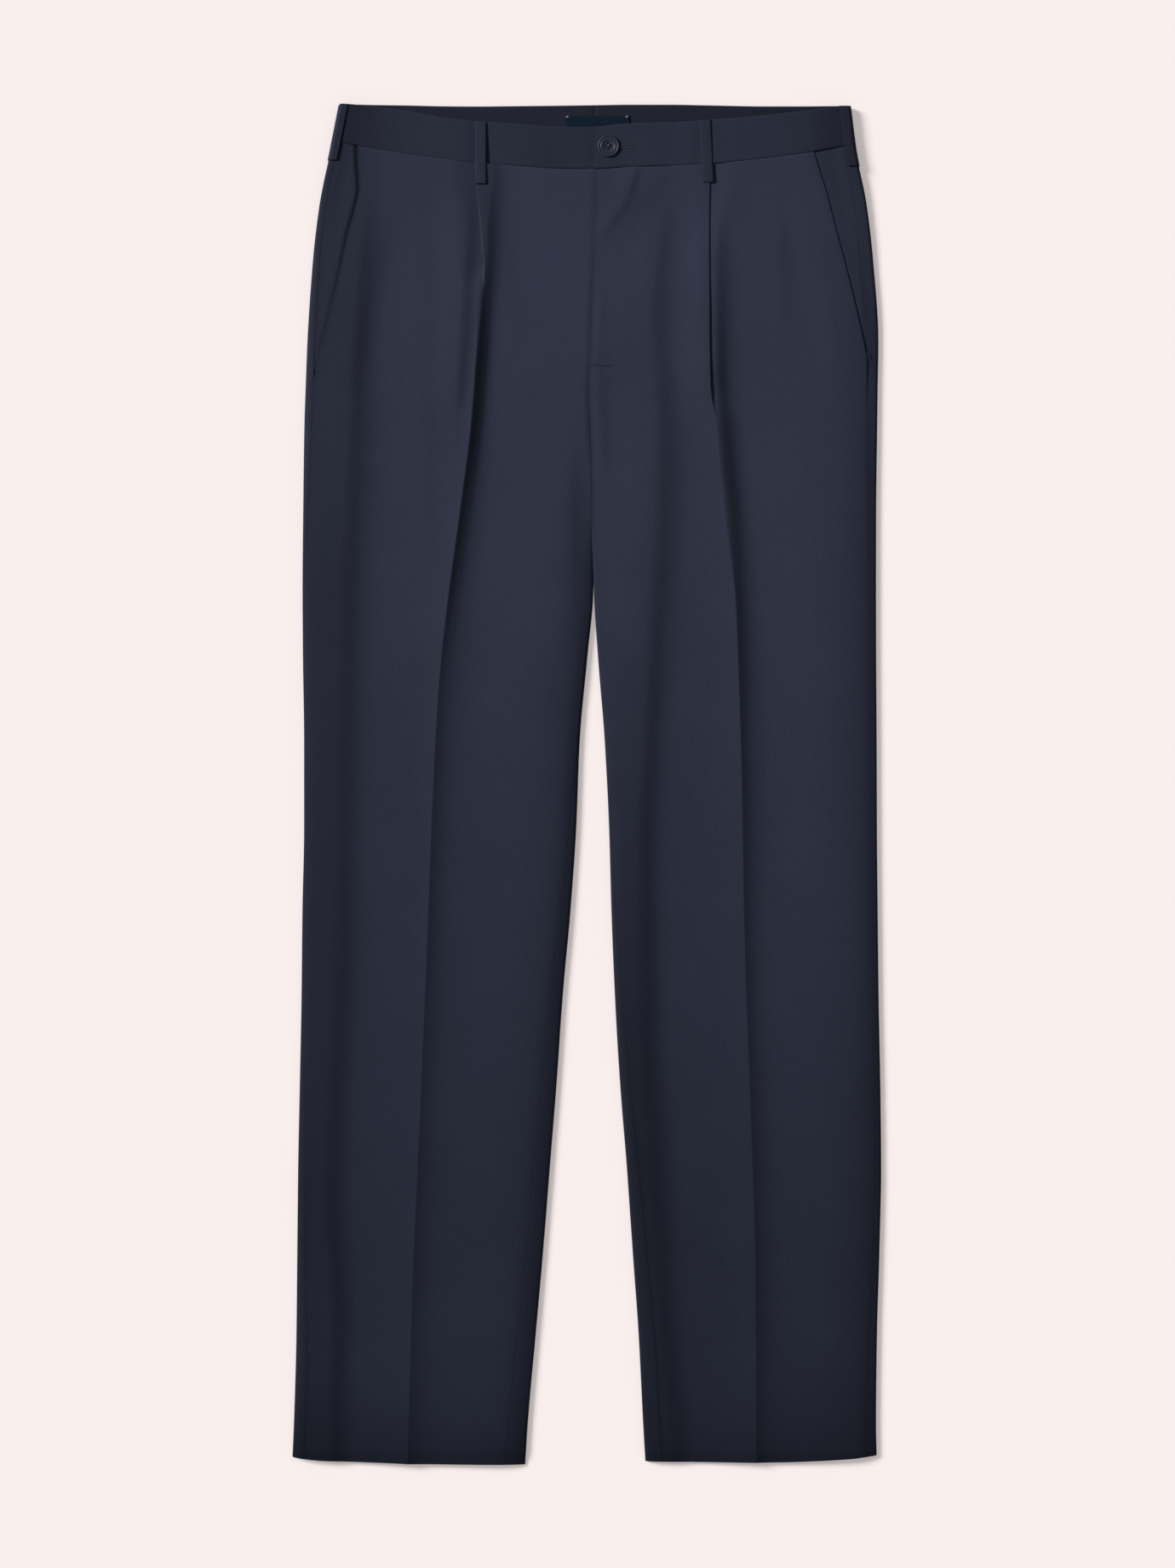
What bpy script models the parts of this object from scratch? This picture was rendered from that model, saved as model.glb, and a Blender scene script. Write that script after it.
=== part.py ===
"""Pleated dress trousers, laid flat on their back with the waist towards +Y.

Each cut piece is a wall of cloth. A wall is worked out as a grid of stations: rows run across the
garment at a drop below the top of the back waistband, columns run outwards from the centre. Every
station has a place on the middle of the cloth and a normal, and the wall's two faces lie half a
thickness to each side of it.

Sides are the wearer's. "Out" is the distance from the X = 0 plane towards that side, so out is -X on
the right and +X on the left. Sizes are in millimetres until a mesh is made.
"""

import math

import bmesh
import bpy
import numpy as np

MM = 0.001
RIGHT = "right"
LEFT = "left"
OUTWARD = {RIGHT: -1.0, LEFT: 1.0}

# The garment.
LENGTH = 1054.0
LOOP_WIDTH = 9.2

# The cloth.
WALL = 1.1
BAND_WALL = 1.6
TRIM_WALL = 1.0
GAP = 0.3
SEAM = GAP / 2
LAP = WALL + GAP

# Plain cloth kept between a turned edge and what comes next to it, and the reach over which a piece
# that lies on another comes down again beside it.
PLAIN = 2.0
FLY_SLOPE = 14.0
FACING_SLOPE = 22.0
BAND_SLOPE = 28.0

# A folded edge turns over within this distance, and a quarter of the turn is this long. The cloth's
# own folds fade in between these distances from an edge.
ROLL = 3.0
QUARTER = 3.6
TURN = math.pi / 2
FOLDS_KEEP_OFF = (3.0, 15.0)

# Heights above the surface that the garment lies on.
LEG_TOP = 3.4
WAIST_TOP = 5.9
WAIST_SETTLES = 50.0
BAND_TOP = 6.2
BACK_LIFT = TRIM_WALL + GAP
BACK_SETTLES = (52.0, 92.0)

# The fly: how far the right front runs on under the left, at the waist and below, and the drops over
# which that run narrows, the left front comes down past its end, and the legs part.
FLY_END = 205.0
UNDERLAP_WAIST = 36.0
UNDERLAP_FLY = 8.0
UNDERLAP_NARROWS = (52.0, 112.0)
UNDERLAP_ENDS = 20.0
FLY_SETTLES = (228.0, 260.0)
FORK_CLOSES = (250.0, 345.0)

# The pleats: hidden depth at the waist seam, the drops where the fold opens and ends, the radius of
# its two turns, and the share of the fold's height that is taken by going down. It is never quite
# flat. Past its end it is the crease, whose crest is a longer arc.
PLEAT_DEPTH = 12.0
LEAST_DEPTH = 0.6
PLEAT_OPENS = 118.0
PLEAT_ENDS = 228.0
PLEAT_RADIUS = 0.7
PLEAT_SINKS = 0.75
PLEAT_RISES_OVER = 25.0
PLEAT_SINKS_OVER = 18.0
PLEAT_BESIDE = (3.0, 1.5)
LEAST_ANGLE = 0.02
LEAST_ARC = 1.0
CREASE_ARC = 5.0
CREASE_ROUNDS = 90.0
CREASE_HEIGHT = 2.3
CREASE_SLOW = 24.0
CREASE_QUICK = 7.0

# The pocket facings: how far they run in under the fronts, where they end, and how far they sink below
# the fronts at the waist, where the waistband holds both down.
FACING_HIDDEN = 18.0
FACING_END = 210.0
FACING_SETTLES = (212.0, 248.0)
FACING_CLEAR = 0.15
FACING_SINKS = 1.0
FACING_SINKS_FROM = 12.0
FACING_LEVEL = 130.0

# The belt loops. The front ones have the drops of their ends and their centre line, as distance out.
# The side ones have the drops of their ends and how far they reach in over the front face, and they
# turn a little way under. All stand off the waistband between their ends.
FRONT_LOOPS = {RIGHT: (12.6, 63.0, 81.5), LEFT: (11.9, 61.5, 93.9)}
SIDE_LOOPS = {RIGHT: (1.5, 44.5, 7.7), LEFT: (2.5, 49.0, 8.6)}
BACK_LOOP_X = (1.7, 10.9)
BACK_LOOP_DROPS = (3.0, 51.0)
SIDE_LOOP_WRAPS = 1.0
LOOP_STANDS = 1.3
LOOP_ROWS = 8
LOOP_COLUMNS = 7

# The waist button, as radius and height from its top centre to its bottom centre, its four holes,
# and the label.
BUTTON_X = 17.2
BUTTON_DROP = 32.3
BUTTON_PROFILE = ((0.0, 1.7), (5.6, 1.7), (6.4, 2.5), (7.6, 2.6), (8.3, 2.2), (8.5, 1.5), (7.6, 0.3),
                  (6.6, 0.0), (0.0, 0.0))
BUTTON_STEPS = 28
HOLES = 4
HOLE_WIDTH = 1.9
HOLE_PLACE = 1.9
HOLE_CUT = 12.0
HOLE_SIDES = 10
LABEL_X = (-16.8, 33.3)
LABEL_DROPS = (9.6, 31.0)
LABEL_WALL = 0.9

# Colours, as roughness and linear red, green and blue.
CLOTH = (0.85, (0.030, 0.034, 0.060))
FACING = (0.85, (0.028, 0.032, 0.056))
TRIM_CLOTH = (0.85, (0.028, 0.032, 0.058))
BUTTON = (0.35, (0.012, 0.014, 0.028))
LABEL = (0.6, (0.010, 0.022, 0.040))


def table(columns, *rows):
    """A short table as a dictionary of its named columns."""
    return dict(zip(columns.split(), np.array(rows, float).T))


# The folded edges and the centre line, as X at each drop. Below the fork each leg has its inner edge.
OUTLINE = table(
    "drop right_side right_inner left_inner left_side",
    (0, -191.2, 6.3, 6.3, 203.8),
    (36, -198.3, 6.3, 6.3, 208.4),
    (78, -207.0, 5.3, 5.3, 217.0),
    (118, -211.9, 4.6, 4.6, 221.8),
    (184, -216.5, 2.6, 2.6, 226.2),
    (217, -217.8, 0.2, 0.2, 225.7),
    (250, -218.9, 2.0, 2.0, 225.3),
    (316, -219.8, 3.3, 3.3, 224.5),
    (375, -220.3, 5.3, 5.3, 224.4),
    (428, -220.0, 0.7, 8.6, 224.5),
    (494, -219.1, -5.3, 13.9, 224.9),
    (560, -219.1, -7.9, 17.2, 225.1),
    (626, -220.4, -12.5, 19.1, 225.7),
    (692, -221.1, -18.5, 21.8, 226.4),
    (758, -222.4, -23.1, 25.7, 227.7),
    (824, -223.7, -28.4, 31.0, 228.4),
    (890, -224.4, -33.7, 35.6, 227.0),
    (956, -225.1, -39.6, 40.3, 225.1),
    (1022, -227.0, -45.5, 43.6, 224.4),
    (1054, -228.4, -47.5, 45.5, 225.1),
)

# How far each seam lies in from its folded edge, on the front face.
SEAMS = table(
    "drop right_side right_inner left_inner left_side",
    (36, 5.5, 0.0, 0.0, 8.0),
    (150, 6.1, 0.0, 0.0, 10.0),
    (217, 6.6, 0.0, 0.0, 8.7),
    (316, 4.0, 0.0, 0.0, 6.0),
    (383, 1.5, 0.0, 0.0, 4.6),
    (480, 0.8, 1.0, 0.6, 4.2),
    (580, 0.8, 6.2, 2.5, 4.0),
    (712, 1.5, 9.6, 6.3, 4.2),
    (780, 5.6, 11.7, 8.3, 4.6),
    (910, 7.3, 12.7, 11.9, 5.1),
    (976, 9.2, 14.3, 13.2, 7.5),
    (1054, 9.5, 14.5, 13.8, 7.8),
)

# The waistband's edges, as a drop at each X.
WAIST = table(
    "x back_top front_top front_seam back_seam",
    (-202, 0.1, 0.1, 28.0, 34.0),
    (-185, 0.7, 0.9, 31.4, 34.0),
    (-165, 1.4, 2.6, 35.4, 34.0),
    (-138, 2.1, 4.8, 39.3, 34.0),
    (-112, 2.8, 9.4, 42.9, 34.0),
    (-85, 3.0, 12.5, 46.2, 34.0),
    (-53, 2.5, 14.6, 48.3, 34.0),
    (-17, 2.0, 18.3, 50.4, 34.0),
    (5, 1.6, 18.3, 50.6, 34.0),
    (31, 1.1, 15.4, 49.2, 34.0),
    (94, 1.6, 11.5, 46.8, 34.0),
    (138, 2.4, 8.6, 42.2, 34.0),
    (166, 2.4, 6.2, 38.4, 34.0),
    (189, 2.2, 3.6, 34.0, 34.0),
    (212, 1.9, 1.9, 31.0, 34.0),
)

# The hems, as a drop at each share of the leg's width from its inner edge.
HEMS = table(
    "share right left",
    (0.00, 1054.0, 1051.4),
    (0.47, 1053.4, 1052.2),
    (0.53, 1053.0, 1052.2),
    (0.88, 1050.6, 1049.4),
    (1.00, 1048.1, 1046.8),
)

# The pleat's fold edge, which becomes the leg's pressed crease, as X at each drop.
CREASES = table(
    "drop right left",
    (46, -94.0, 96.5),
    (65, -89.8, 95.7),
    (87, -84.5, 95.4),
    (108, -81.2, 95.3),
    (130, -79.9, 95.4),
    (158, -79.9, 95.6),
    (184, -82.5, 95.7),
    (217, -87.1, 96.5),
    (250, -90.4, 101.0),
    (316, -99.0, 108.9),
    (382, -107.6, 114.8),
    (448, -114.2, 117.5),
    (514, -118.1, 119.5),
    (646, -123.4, 122.1),
    (778, -128.7, 126.7),
    (910, -134.6, 130.7),
    (1054, -138.6, 131.3),
)

# The slanted pocket mouths, as X at each drop, drawn on past the side seam that ends them.
MOUTHS = table(
    "drop right left",
    (30, -177.5, 173.5),
    (50, -177.5, 179.6),
    (72, -178.4, 186.6),
    (99, -183.2, 193.4),
    (130, -189.4, 201.6),
    (158, -197.0, 208.4),
    (188, -204.6, 215.1),
    (207, -209.4, 219.0),
    (230, -216.0, 225.0),
    (300, -240.0, 249.0),
)

# Soft folds along the legs: crest height, reach of the slow side (-X) and of the quick side (+X),
# and the crest's path as X at each drop.
SOFT_FOLDS = {
    RIGHT: (
        (1.0, 30.0, 9.0, table("drop x", (95, -168), (150, -174), (283, -182), (448, -187),
                               (646, -187), (778, -191), (844, -195), (976, -190), (1054, -189))),
        (0.5, 20.0, 10.0, table("drop x", (75, -124), (200, -123), (350, -121))),
        (0.5, 16.0, 9.0, table("drop x", (75, -60), (117, -58.5), (190, -57))),
        (0.6, 14.0, 7.0, table("drop x", (270, -10), (330, -8.5), (400, -9))),
    ),
    LEFT: (
        (1.1, 30.0, 9.0, table("drop x", (75, 63.5), (150, 57.5), (250, 62), (382, 56), (514, 48),
                               (646, 46), (778, 52), (910, 60), (976, 62), (1054, 52))),
        (0.6, 18.0, 9.0, table("drop x", (75, 149), (117, 150.5), (180, 153))),
    ),
}
FOLD_FADES = 40.0

# Rows of the leg panels, as drops where the waist seam and the hem are level.
WAIST_ROW = 45.0
HEM_ROW = 1051.0
ROWS = (WAIST_ROW, 56, 68, 80, 92, 105, 118, 134, 150, 168, 188, 210, 228, 250, 282, 316, 345, 375,
        410, 450, 514, 600, 700, 800, 900, 990, HEM_ROW)
WAIST_ROWS_LEVEL = 150.0
HEM_ROWS_LEVEL = 880.0

# Columns of cloth: at a front's ends, across a plain stretch, round each turn of the pleat, and on a
# back, which has its strip on the front face, its rolled edges and its plain stretch.
ROLL_COLUMNS = 4
PANEL_COLUMNS = 6
TURN_COLUMNS = 5
STRIP_COLUMNS = 2
EDGE_COLUMNS = 6
BACK_COLUMNS = 4
FACING_COLUMNS = 9
BAND_COLUMNS = 15
BAND_ROWS = 4

# Rows whose drop depends on their place are found by working each out from the other this many times.
SETTLINGS = 4

# An edge between faces is left sharp where they turn by more than this.
SHARP = math.radians(40)


def smooth_curve(places, values, at):
    """A curve through a column of values, made of cubics whose slopes never overshoot."""
    step = np.diff(places)
    rise = np.diff(values) / step
    product = rise[:-1] * rise[1:]
    same = product > 0
    mean = np.where(same, 2 * product / np.where(same, rise[:-1] + rise[1:], 1.0), 0.0)
    slope = np.concatenate([rise[:1], mean, rise[-1:]])
    at = np.clip(at, places[0], places[-1])
    k = np.clip(np.searchsorted(places, at, side="right") - 1, 0, len(step) - 1)
    s = (at - places[k]) / step[k]
    start = values[k] * (1 + 2 * s) + slope[k] * step[k] * s
    end = values[k + 1] * (3 - 2 * s) + slope[k + 1] * step[k] * (s - 1)
    return start * (1 - s) ** 2 + end * s**2


def ease(low, high, value):
    """Smoothly from 0 at low to 1 at high."""
    s = np.clip((value - low) / (high - low), 0.0, 1.0)
    return s * s * (3 - 2 * s)


def outline(side, edge, drop):
    """Distance out of a folded edge, with half a seam's gap kept at the centre."""
    kept = SEAM if edge == "inner" else 0.0
    return OUTWARD[side] * smooth_curve(OUTLINE["drop"], OUTLINE[f"{side}_{edge}"], drop) + kept


def seam_inset(side, edge, drop):
    """How far a seam lies in from its folded edge."""
    return smooth_curve(SEAMS["drop"], SEAMS[f"{side}_{edge}"], drop)


def waist(column, x):
    """Drop of one of the waistband's edges."""
    return smooth_curve(WAIST["x"], WAIST[column], x)


def crease(side, drop):
    """Distance out of the pleat's fold edge and the crease."""
    return OUTWARD[side] * smooth_curve(CREASES["drop"], CREASES[side], drop)


def mouth(side, drop):
    """Distance out of the pocket mouth."""
    return OUTWARD[side] * smooth_curve(MOUTHS["drop"], MOUTHS[side], drop)


def front_top(drop):
    """Height of the fronts' upper face, before any fold."""
    past = np.maximum(drop - WAIST_ROW, 0.0)
    return LEG_TOP + (WAIST_TOP - LEG_TOP) * np.exp(-past / WAIST_SETTLES)


def back_underside(drop):
    """Height of the backs' lower face: the belt loop lifts it at the waist."""
    return BACK_LIFT * (1 - ease(*BACK_SETTLES, drop))


def ridge(distance, slow, quick):
    """A ridge of height 1 that falls slowly towards -X and quickly towards +X."""
    return np.exp(np.where(distance < 0, distance / slow, -distance / quick))


def relief(side, out, drop):
    """Height of the crease and the soft folds over the plain front, fading out at both edges."""
    x = OUTWARD[side] * out
    crest = OUTWARD[side] * crease(side, drop)
    strength = CREASE_HEIGHT * ease(PLEAT_OPENS, PLEAT_ENDS, drop)
    height = strength * ridge(x - crest, CREASE_SLOW, CREASE_QUICK)
    for crest_height, slow, quick, path in SOFT_FOLDS[side]:
        first, last = path["drop"][0], path["drop"][-1]
        fades = ease(first - FOLD_FADES, first + FOLD_FADES, drop)
        if last < LENGTH:
            fades = fades * (1 - ease(last - FOLD_FADES, last + FOLD_FADES, drop))
        line = smooth_curve(path["drop"], path["x"], drop)
        height = height + crest_height * fades * ridge(x - line, slow, quick)
    from_side = outline(side, "side", drop) - out
    from_inner = out - outline(side, "inner", drop)
    return height * ease(*FOLDS_KEEP_OFF, from_side) * ease(*FOLDS_KEEP_OFF, from_inner)


def underlap(drop):
    """Width of the right front's run under the left one."""
    wide = UNDERLAP_WAIST - UNDERLAP_FLY
    width = UNDERLAP_FLY + wide * (1 - ease(*UNDERLAP_NARROWS, drop))
    return width * (1 - ease(FLY_END, FLY_END + UNDERLAP_ENDS, drop))


def facing_sinks(side, out, drop):
    """How far a pocket facing lies below the plain front where the waistband holds both down."""
    from_seam = outline(side, "side", drop) - seam_inset(side, "side", drop) - out
    return FACING_SINKS * ease(0, FACING_SINKS_FROM, from_seam) * (1 - ease(WAIST_ROW, FACING_LEVEL, drop))


def laps(side, out, drop):
    """How far a front is lifted by the fly underlap and by the pocket facing beneath it."""
    from_mouth = mouth(side, drop) - out
    over_facing = 1 - ease(0, FACING_SLOPE, from_mouth - FACING_HIDDEN - PLAIN)
    over_facing = over_facing * (1 - ease(*FACING_SETTLES, drop))
    lift = over_facing * (LAP - facing_sinks(side, out, drop))
    if side == LEFT:
        from_fly = out - outline(side, "inner", drop)
        over_fly = 1 - ease(0, FLY_SLOPE, from_fly - underlap(drop) - PLAIN)
        lift = lift + LAP * over_fly * (1 - ease(*FLY_SETTLES, drop))
    return lift


def arc_to(inset):
    """Length along a rolled edge, from its outermost line to a place this far in on the upper face."""
    angle = np.arccos(1 - np.minimum(inset, ROLL) / ROLL)
    return QUARTER * angle / TURN + np.maximum(inset - ROLL, 0.0)


def rolled(arc, closed, low, high, wall):
    """Mid-cloth stations along a rolled edge.

    The arc length is above 0 on the upper face and below 0 on the lower one. Closed is 1 where the
    edge is folded and 0 where the two faces end separately. Returns the distance in from the edge,
    the height, and the normal's angle, where 0 points straight out of the edge and TURN points up.
    """
    angle = np.clip(arc / QUARTER, -1, 1) * TURN
    half = (high - low - wall) / 2
    inset = ROLL - (ROLL - closed * wall / 2) * np.cos(angle) + np.maximum(np.abs(arc) - QUARTER, 0)
    upper = high - wall / 2 - closed * half * (1 - np.sin(angle))
    lower = low + wall / 2 + closed * half * (1 + np.sin(angle))
    height = np.where(arc > 0, upper, lower)
    tilt = np.where(arc > 0, TURN - closed * (TURN - angle), closed * (TURN + angle) - TURN)
    return inset, height, tilt


def fork_closed(drop):
    """1 below the fork, where each leg's inner edge is folded, and 0 above it."""
    return ease(*FORK_CLOSES, drop)


def panel_drop(side, row, out, upper):
    """Drop of a leg panel's row, which follows the waist seam at the top and the hem at the bottom.

    Upper is 1 on the front face and 0 on the back face.
    """
    x = OUTWARD[side] * out
    seam = upper * waist("front_seam", x) + (1 - upper) * waist("back_seam", x)
    inner, outer = outline(side, "inner", HEM_ROW), outline(side, "side", HEM_ROW)
    hem = smooth_curve(HEMS["share"], HEMS[side], (out - inner) / (outer - inner))
    at_waist = 1 - ease(WAIST_ROW, WAIST_ROWS_LEVEL, row)
    at_hem = ease(HEM_ROWS_LEVEL, HEM_ROW, row)
    return row + at_waist * (seam + SEAM - WAIST_ROW) + at_hem * (hem - HEM_ROW)


def pleat_fold(side, drop):
    """Measures of the pleat's S-fold at each drop, as a dictionary.

    The cloth turns down by an angle, runs back under itself for the hidden depth, and turns forward
    again. The angle is half a turn down to where the pleat opens and nothing where it ends.
    """
    angle = np.maximum(math.pi * (1 - ease(PLEAT_OPENS, PLEAT_ENDS, drop)), LEAST_ANGLE)
    depth = PLEAT_DEPTH * (PLEAT_OPENS - drop) / (PLEAT_OPENS - WAIST_ROW)
    depth = np.clip(depth, LEAST_DEPTH, PLEAT_DEPTH)
    arc = np.maximum(PLEAT_RADIUS * angle, LEAST_ARC)
    arc = arc + (CREASE_ARC - LEAST_ARC) * ease(PLEAT_ENDS, PLEAT_ENDS + CREASE_ROUNDS, drop)
    radius = arc / angle
    falls = 2 * radius * (1 - np.cos(angle)) + depth * np.sin(angle)
    room = front_top(drop) - back_underside(drop) - 2 * WALL - GAP
    sinks = np.minimum(PLEAT_SINKS * falls, room)
    edge = crease(side, drop)
    begins = edge - (radius + WALL / 2) * np.sin(np.minimum(angle, TURN))
    ends = begins + 2 * radius * np.sin(angle) + depth * np.cos(angle)
    return {"angle": angle, "depth": depth, "radius": radius, "sinks": sinks, "rises": falls - sinks,
            "edge": edge, "begins": begins, "ends": ends}


def fold_stations(fold, share):
    """Distance out, height and normal through an S-fold.

    Shares run 0 to 1 through the first turn, 1 to 2 along the hidden run and 2 to 3 through the
    second turn.
    """
    angle, radius = fold["angle"], fold["radius"]
    first = angle * np.clip(share, 0, 1)
    run = fold["depth"] * np.clip(share - 1, 0, 1)
    second = angle * np.clip(3 - share, 0, 1)
    out = radius * (np.sin(first) + np.sin(angle) - np.sin(second)) + run * np.cos(angle)
    down = radius * (1 - np.cos(first) + np.cos(second) - np.cos(angle)) + run * np.sin(angle)
    return fold["begins"] + out, fold["rises"] - down, TURN - np.minimum(first, second)


def edge_arcs(side, edge, drop, closed):
    """Places of a seam's two sides along a folded edge: the front's end and the back's end."""
    line = arc_to(seam_inset(side, edge, drop))
    apart = SEAM * (1 + closed * (1 - ease(0, QUARTER, line)))
    return line + apart, line - apart


def spread(low, high, count, first=0, last=0):
    """Evenly spaced columns from low to high, leaving out as many at each end as asked."""
    share = np.arange(first, count + first) / (count + first + last - 1)
    return low + (high - low) * share


def front_inner(side, drop):
    """The inner end of a front, with the right one's run under the fly."""
    closed = fork_closed(drop)
    begin = edge_arcs(side, "inner", drop, closed)[0]
    arc = spread(begin, np.maximum(begin, QUARTER) + PLAIN, ROLL_COLUMNS, last=1)
    inset, height, angle = rolled(arc, closed, back_underside(drop), front_top(drop), WALL)
    run_on = underlap(drop) if side == RIGHT else 0.0
    return outline(side, "inner", drop) - run_on + inset, height, math.pi - angle


def front_near(side, drop):
    """The plain stretch between the inner end and the pleat."""
    begin = edge_arcs(side, "inner", drop, fork_closed(drop))[0]
    run_on = underlap(drop) if side == RIGHT else 0.0
    start = outline(side, "inner", drop) - run_on + ROLL + np.maximum(begin - QUARTER, 0) + PLAIN
    fold = pleat_fold(side, drop)
    stop = fold["begins"] - fold["depth"] - PLEAT_BESIDE[0]
    out = spread(start, stop, PANEL_COLUMNS + 1)
    lift = fold["rises"] * (1 - ease(0, PLEAT_RISES_OVER, stop - out))
    return out, front_top(drop) - WALL / 2 + lift, np.full(out.shape, TURN)


def front_fold(side, drop):
    """The pleat, which is the crease's crest below its end."""
    turn = np.linspace(0, 1, TURN_COLUMNS + 1)
    out, lift, tilt = fold_stations(pleat_fold(side, drop), np.concatenate([turn, 2 + turn]))
    return out, front_top(drop) - WALL / 2 + lift, tilt


def front_end(side, drop):
    """Arc length along the side fold at which a front ends: at the pocket mouth or the side seam."""
    inset = np.maximum(outline(side, "side", drop) - mouth(side, drop), 0.0)
    return np.maximum(edge_arcs(side, "side", drop, 1.0)[0], arc_to(inset))


def front_far(side, drop):
    """The plain stretch between the pleat and the outer end."""
    fold = pleat_fold(side, drop)
    start = np.maximum(fold["edge"], fold["ends"]) + PLEAT_BESIDE[1]
    clear = np.maximum(front_end(side, drop) - QUARTER, 0) + PLAIN
    out = spread(start, outline(side, "side", drop) - ROLL - clear, PANEL_COLUMNS + 1)
    sink = fold["sinks"] * (1 - ease(0, PLEAT_SINKS_OVER, out - start))
    return out, front_top(drop) - WALL / 2 - sink, np.full(out.shape, TURN)


def front_outer(side, drop):
    """The outer end of a front."""
    end = front_end(side, drop)
    arc = spread(np.maximum(end, QUARTER) + PLAIN, end, ROLL_COLUMNS, first=1)
    inset, height, tilt = rolled(arc, 1.0, back_underside(drop), front_top(drop), WALL)
    return outline(side, "side", drop) - inset, height, tilt


FRONT_STRETCHES = (
    (front_inner, ROLL_COLUMNS),
    (front_near, PANEL_COLUMNS + 1),
    (front_fold, 2 * TURN_COLUMNS + 2),
    (front_far, PANEL_COLUMNS + 1),
    (front_outer, ROLL_COLUMNS),
)


def stations(side, stretches, drop):
    """Distance out, height and normal across every stretch of a piece."""
    stops = np.cumsum([count for _, count in stretches])[:-1]
    parts = [make(side, part) for (make, _), part in zip(stretches, np.split(drop, stops, axis=1))]
    return [np.concatenate(columns, axis=1) for columns in zip(*parts)]


def back_arcs(side, edge, drop, closed):
    """Arc lengths from a back's seam on the front face, over the folded edge, to the lower face."""
    seam = edge_arcs(side, edge, drop, closed)[1]
    strip, fold = np.split(np.minimum(seam - GAP, QUARTER), [STRIP_COLUMNS], axis=1)
    on_top = spread(seam[:, :STRIP_COLUMNS], strip, STRIP_COLUMNS, last=1)
    return np.concatenate([on_top, spread(fold, -QUARTER, EDGE_COLUMNS)], axis=1)


def back_edge(side, edge, drop):
    """A back's strip on the front face and its rolled edge, as inset, height and angle."""
    closed = fork_closed(drop) if edge == "inner" else np.ones(drop.shape)
    arc = back_arcs(side, edge, drop, closed)
    return rolled(arc, closed, back_underside(drop), front_top(drop), WALL)


def back_inner(side, drop):
    """A back's inner end."""
    inset, height, angle = back_edge(side, "inner", drop)
    return outline(side, "inner", drop) + inset, height, math.pi - angle


def back_middle(side, drop):
    """The back's plain stretch, flat on whatever the garment lies on."""
    start = outline(side, "inner", drop) + ROLL
    stop = outline(side, "side", drop) - ROLL
    out = spread(start, stop, BACK_COLUMNS, first=1, last=1)
    return out, back_underside(drop) + WALL / 2, np.full(out.shape, TURN + math.pi)


def back_outer(side, drop):
    """A back's outer end, from the lower face to the side seam on the front face."""
    inset, height, angle = (part[:, ::-1] for part in back_edge(side, "side", drop[:, ::-1]))
    return outline(side, "side", drop) - inset, height, angle


BACK_STRETCHES = (
    (back_inner, STRIP_COLUMNS + EDGE_COLUMNS),
    (back_middle, BACK_COLUMNS),
    (back_outer, STRIP_COLUMNS + EDGE_COLUMNS),
)


def facing_stretch(side, drop):
    """A pocket facing, from under the front to the side seam."""
    seam = edge_arcs(side, "side", drop, 1.0)[0]
    inset = rolled(seam, 1.0, back_underside(drop), front_top(drop), WALL)[0]
    inner = mouth(side, drop) - FACING_HIDDEN
    out = spread(inner, outline(side, "side", drop) - inset, FACING_COLUMNS)
    return out, front_top(drop) - WALL / 2, np.full(out.shape, TURN)


def band_lift(side, out, drop):
    """How far the left waistband is lifted where it laps over the right one."""
    if side == RIGHT:
        return 0.0 * out
    past = out - outline(side, "inner", drop) - UNDERLAP_WAIST - PLAIN
    return (BAND_WALL + GAP) * (1 - ease(0, BAND_SLOPE, past))


def band_front(side, drop):
    """The front run of a waistband half, from its front end to the side fold."""
    run_on = UNDERLAP_WAIST if side == RIGHT else 0.0
    start = outline(side, "inner", drop) - run_on
    out = spread(start, outline(side, "side", drop) - ROLL, BAND_COLUMNS, last=1)
    return out, BAND_TOP - BAND_WALL / 2 + band_lift(side, out, drop), np.full(out.shape, TURN)


def band_side(side, drop):
    """The waistband's turn round the side fold."""
    arc = spread(QUARTER + 0 * drop, -QUARTER, drop.shape[1])
    inset, height, angle = rolled(arc, 1.0, BACK_LIFT, BAND_TOP, BAND_WALL)
    return outline(side, "side", drop) - inset, height, angle


def band_back(side, drop):
    """The back run of a waistband half, from the side fold to the centre back."""
    stop = outline(side, "inner", drop)
    out = spread(outline(side, "side", drop) - ROLL, stop, BACK_COLUMNS, first=1)
    return out, np.full(out.shape, BACK_LIFT + BAND_WALL / 2), np.full(out.shape, TURN + math.pi)


BAND_STRETCHES = (
    (band_front, BAND_COLUMNS),
    (band_side, EDGE_COLUMNS),
    (band_back, BACK_COLUMNS),
)


def settled(side, stretches, count, place):
    """Stations of a piece whose rows' drops depend on X, found by working each out from the other."""
    drop = place(np.zeros((1, count)), np.ones((1, count)))
    for _ in range(SETTLINGS):
        out, height, tilt = stations(side, stretches, drop)
        upper = (1 + np.sin(tilt)) / 2
        drop = place(out, upper)
    return drop, out, height, tilt


def columns_of(stretches):
    """Number of columns in all."""
    return sum(count for _, count in stretches)


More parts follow.
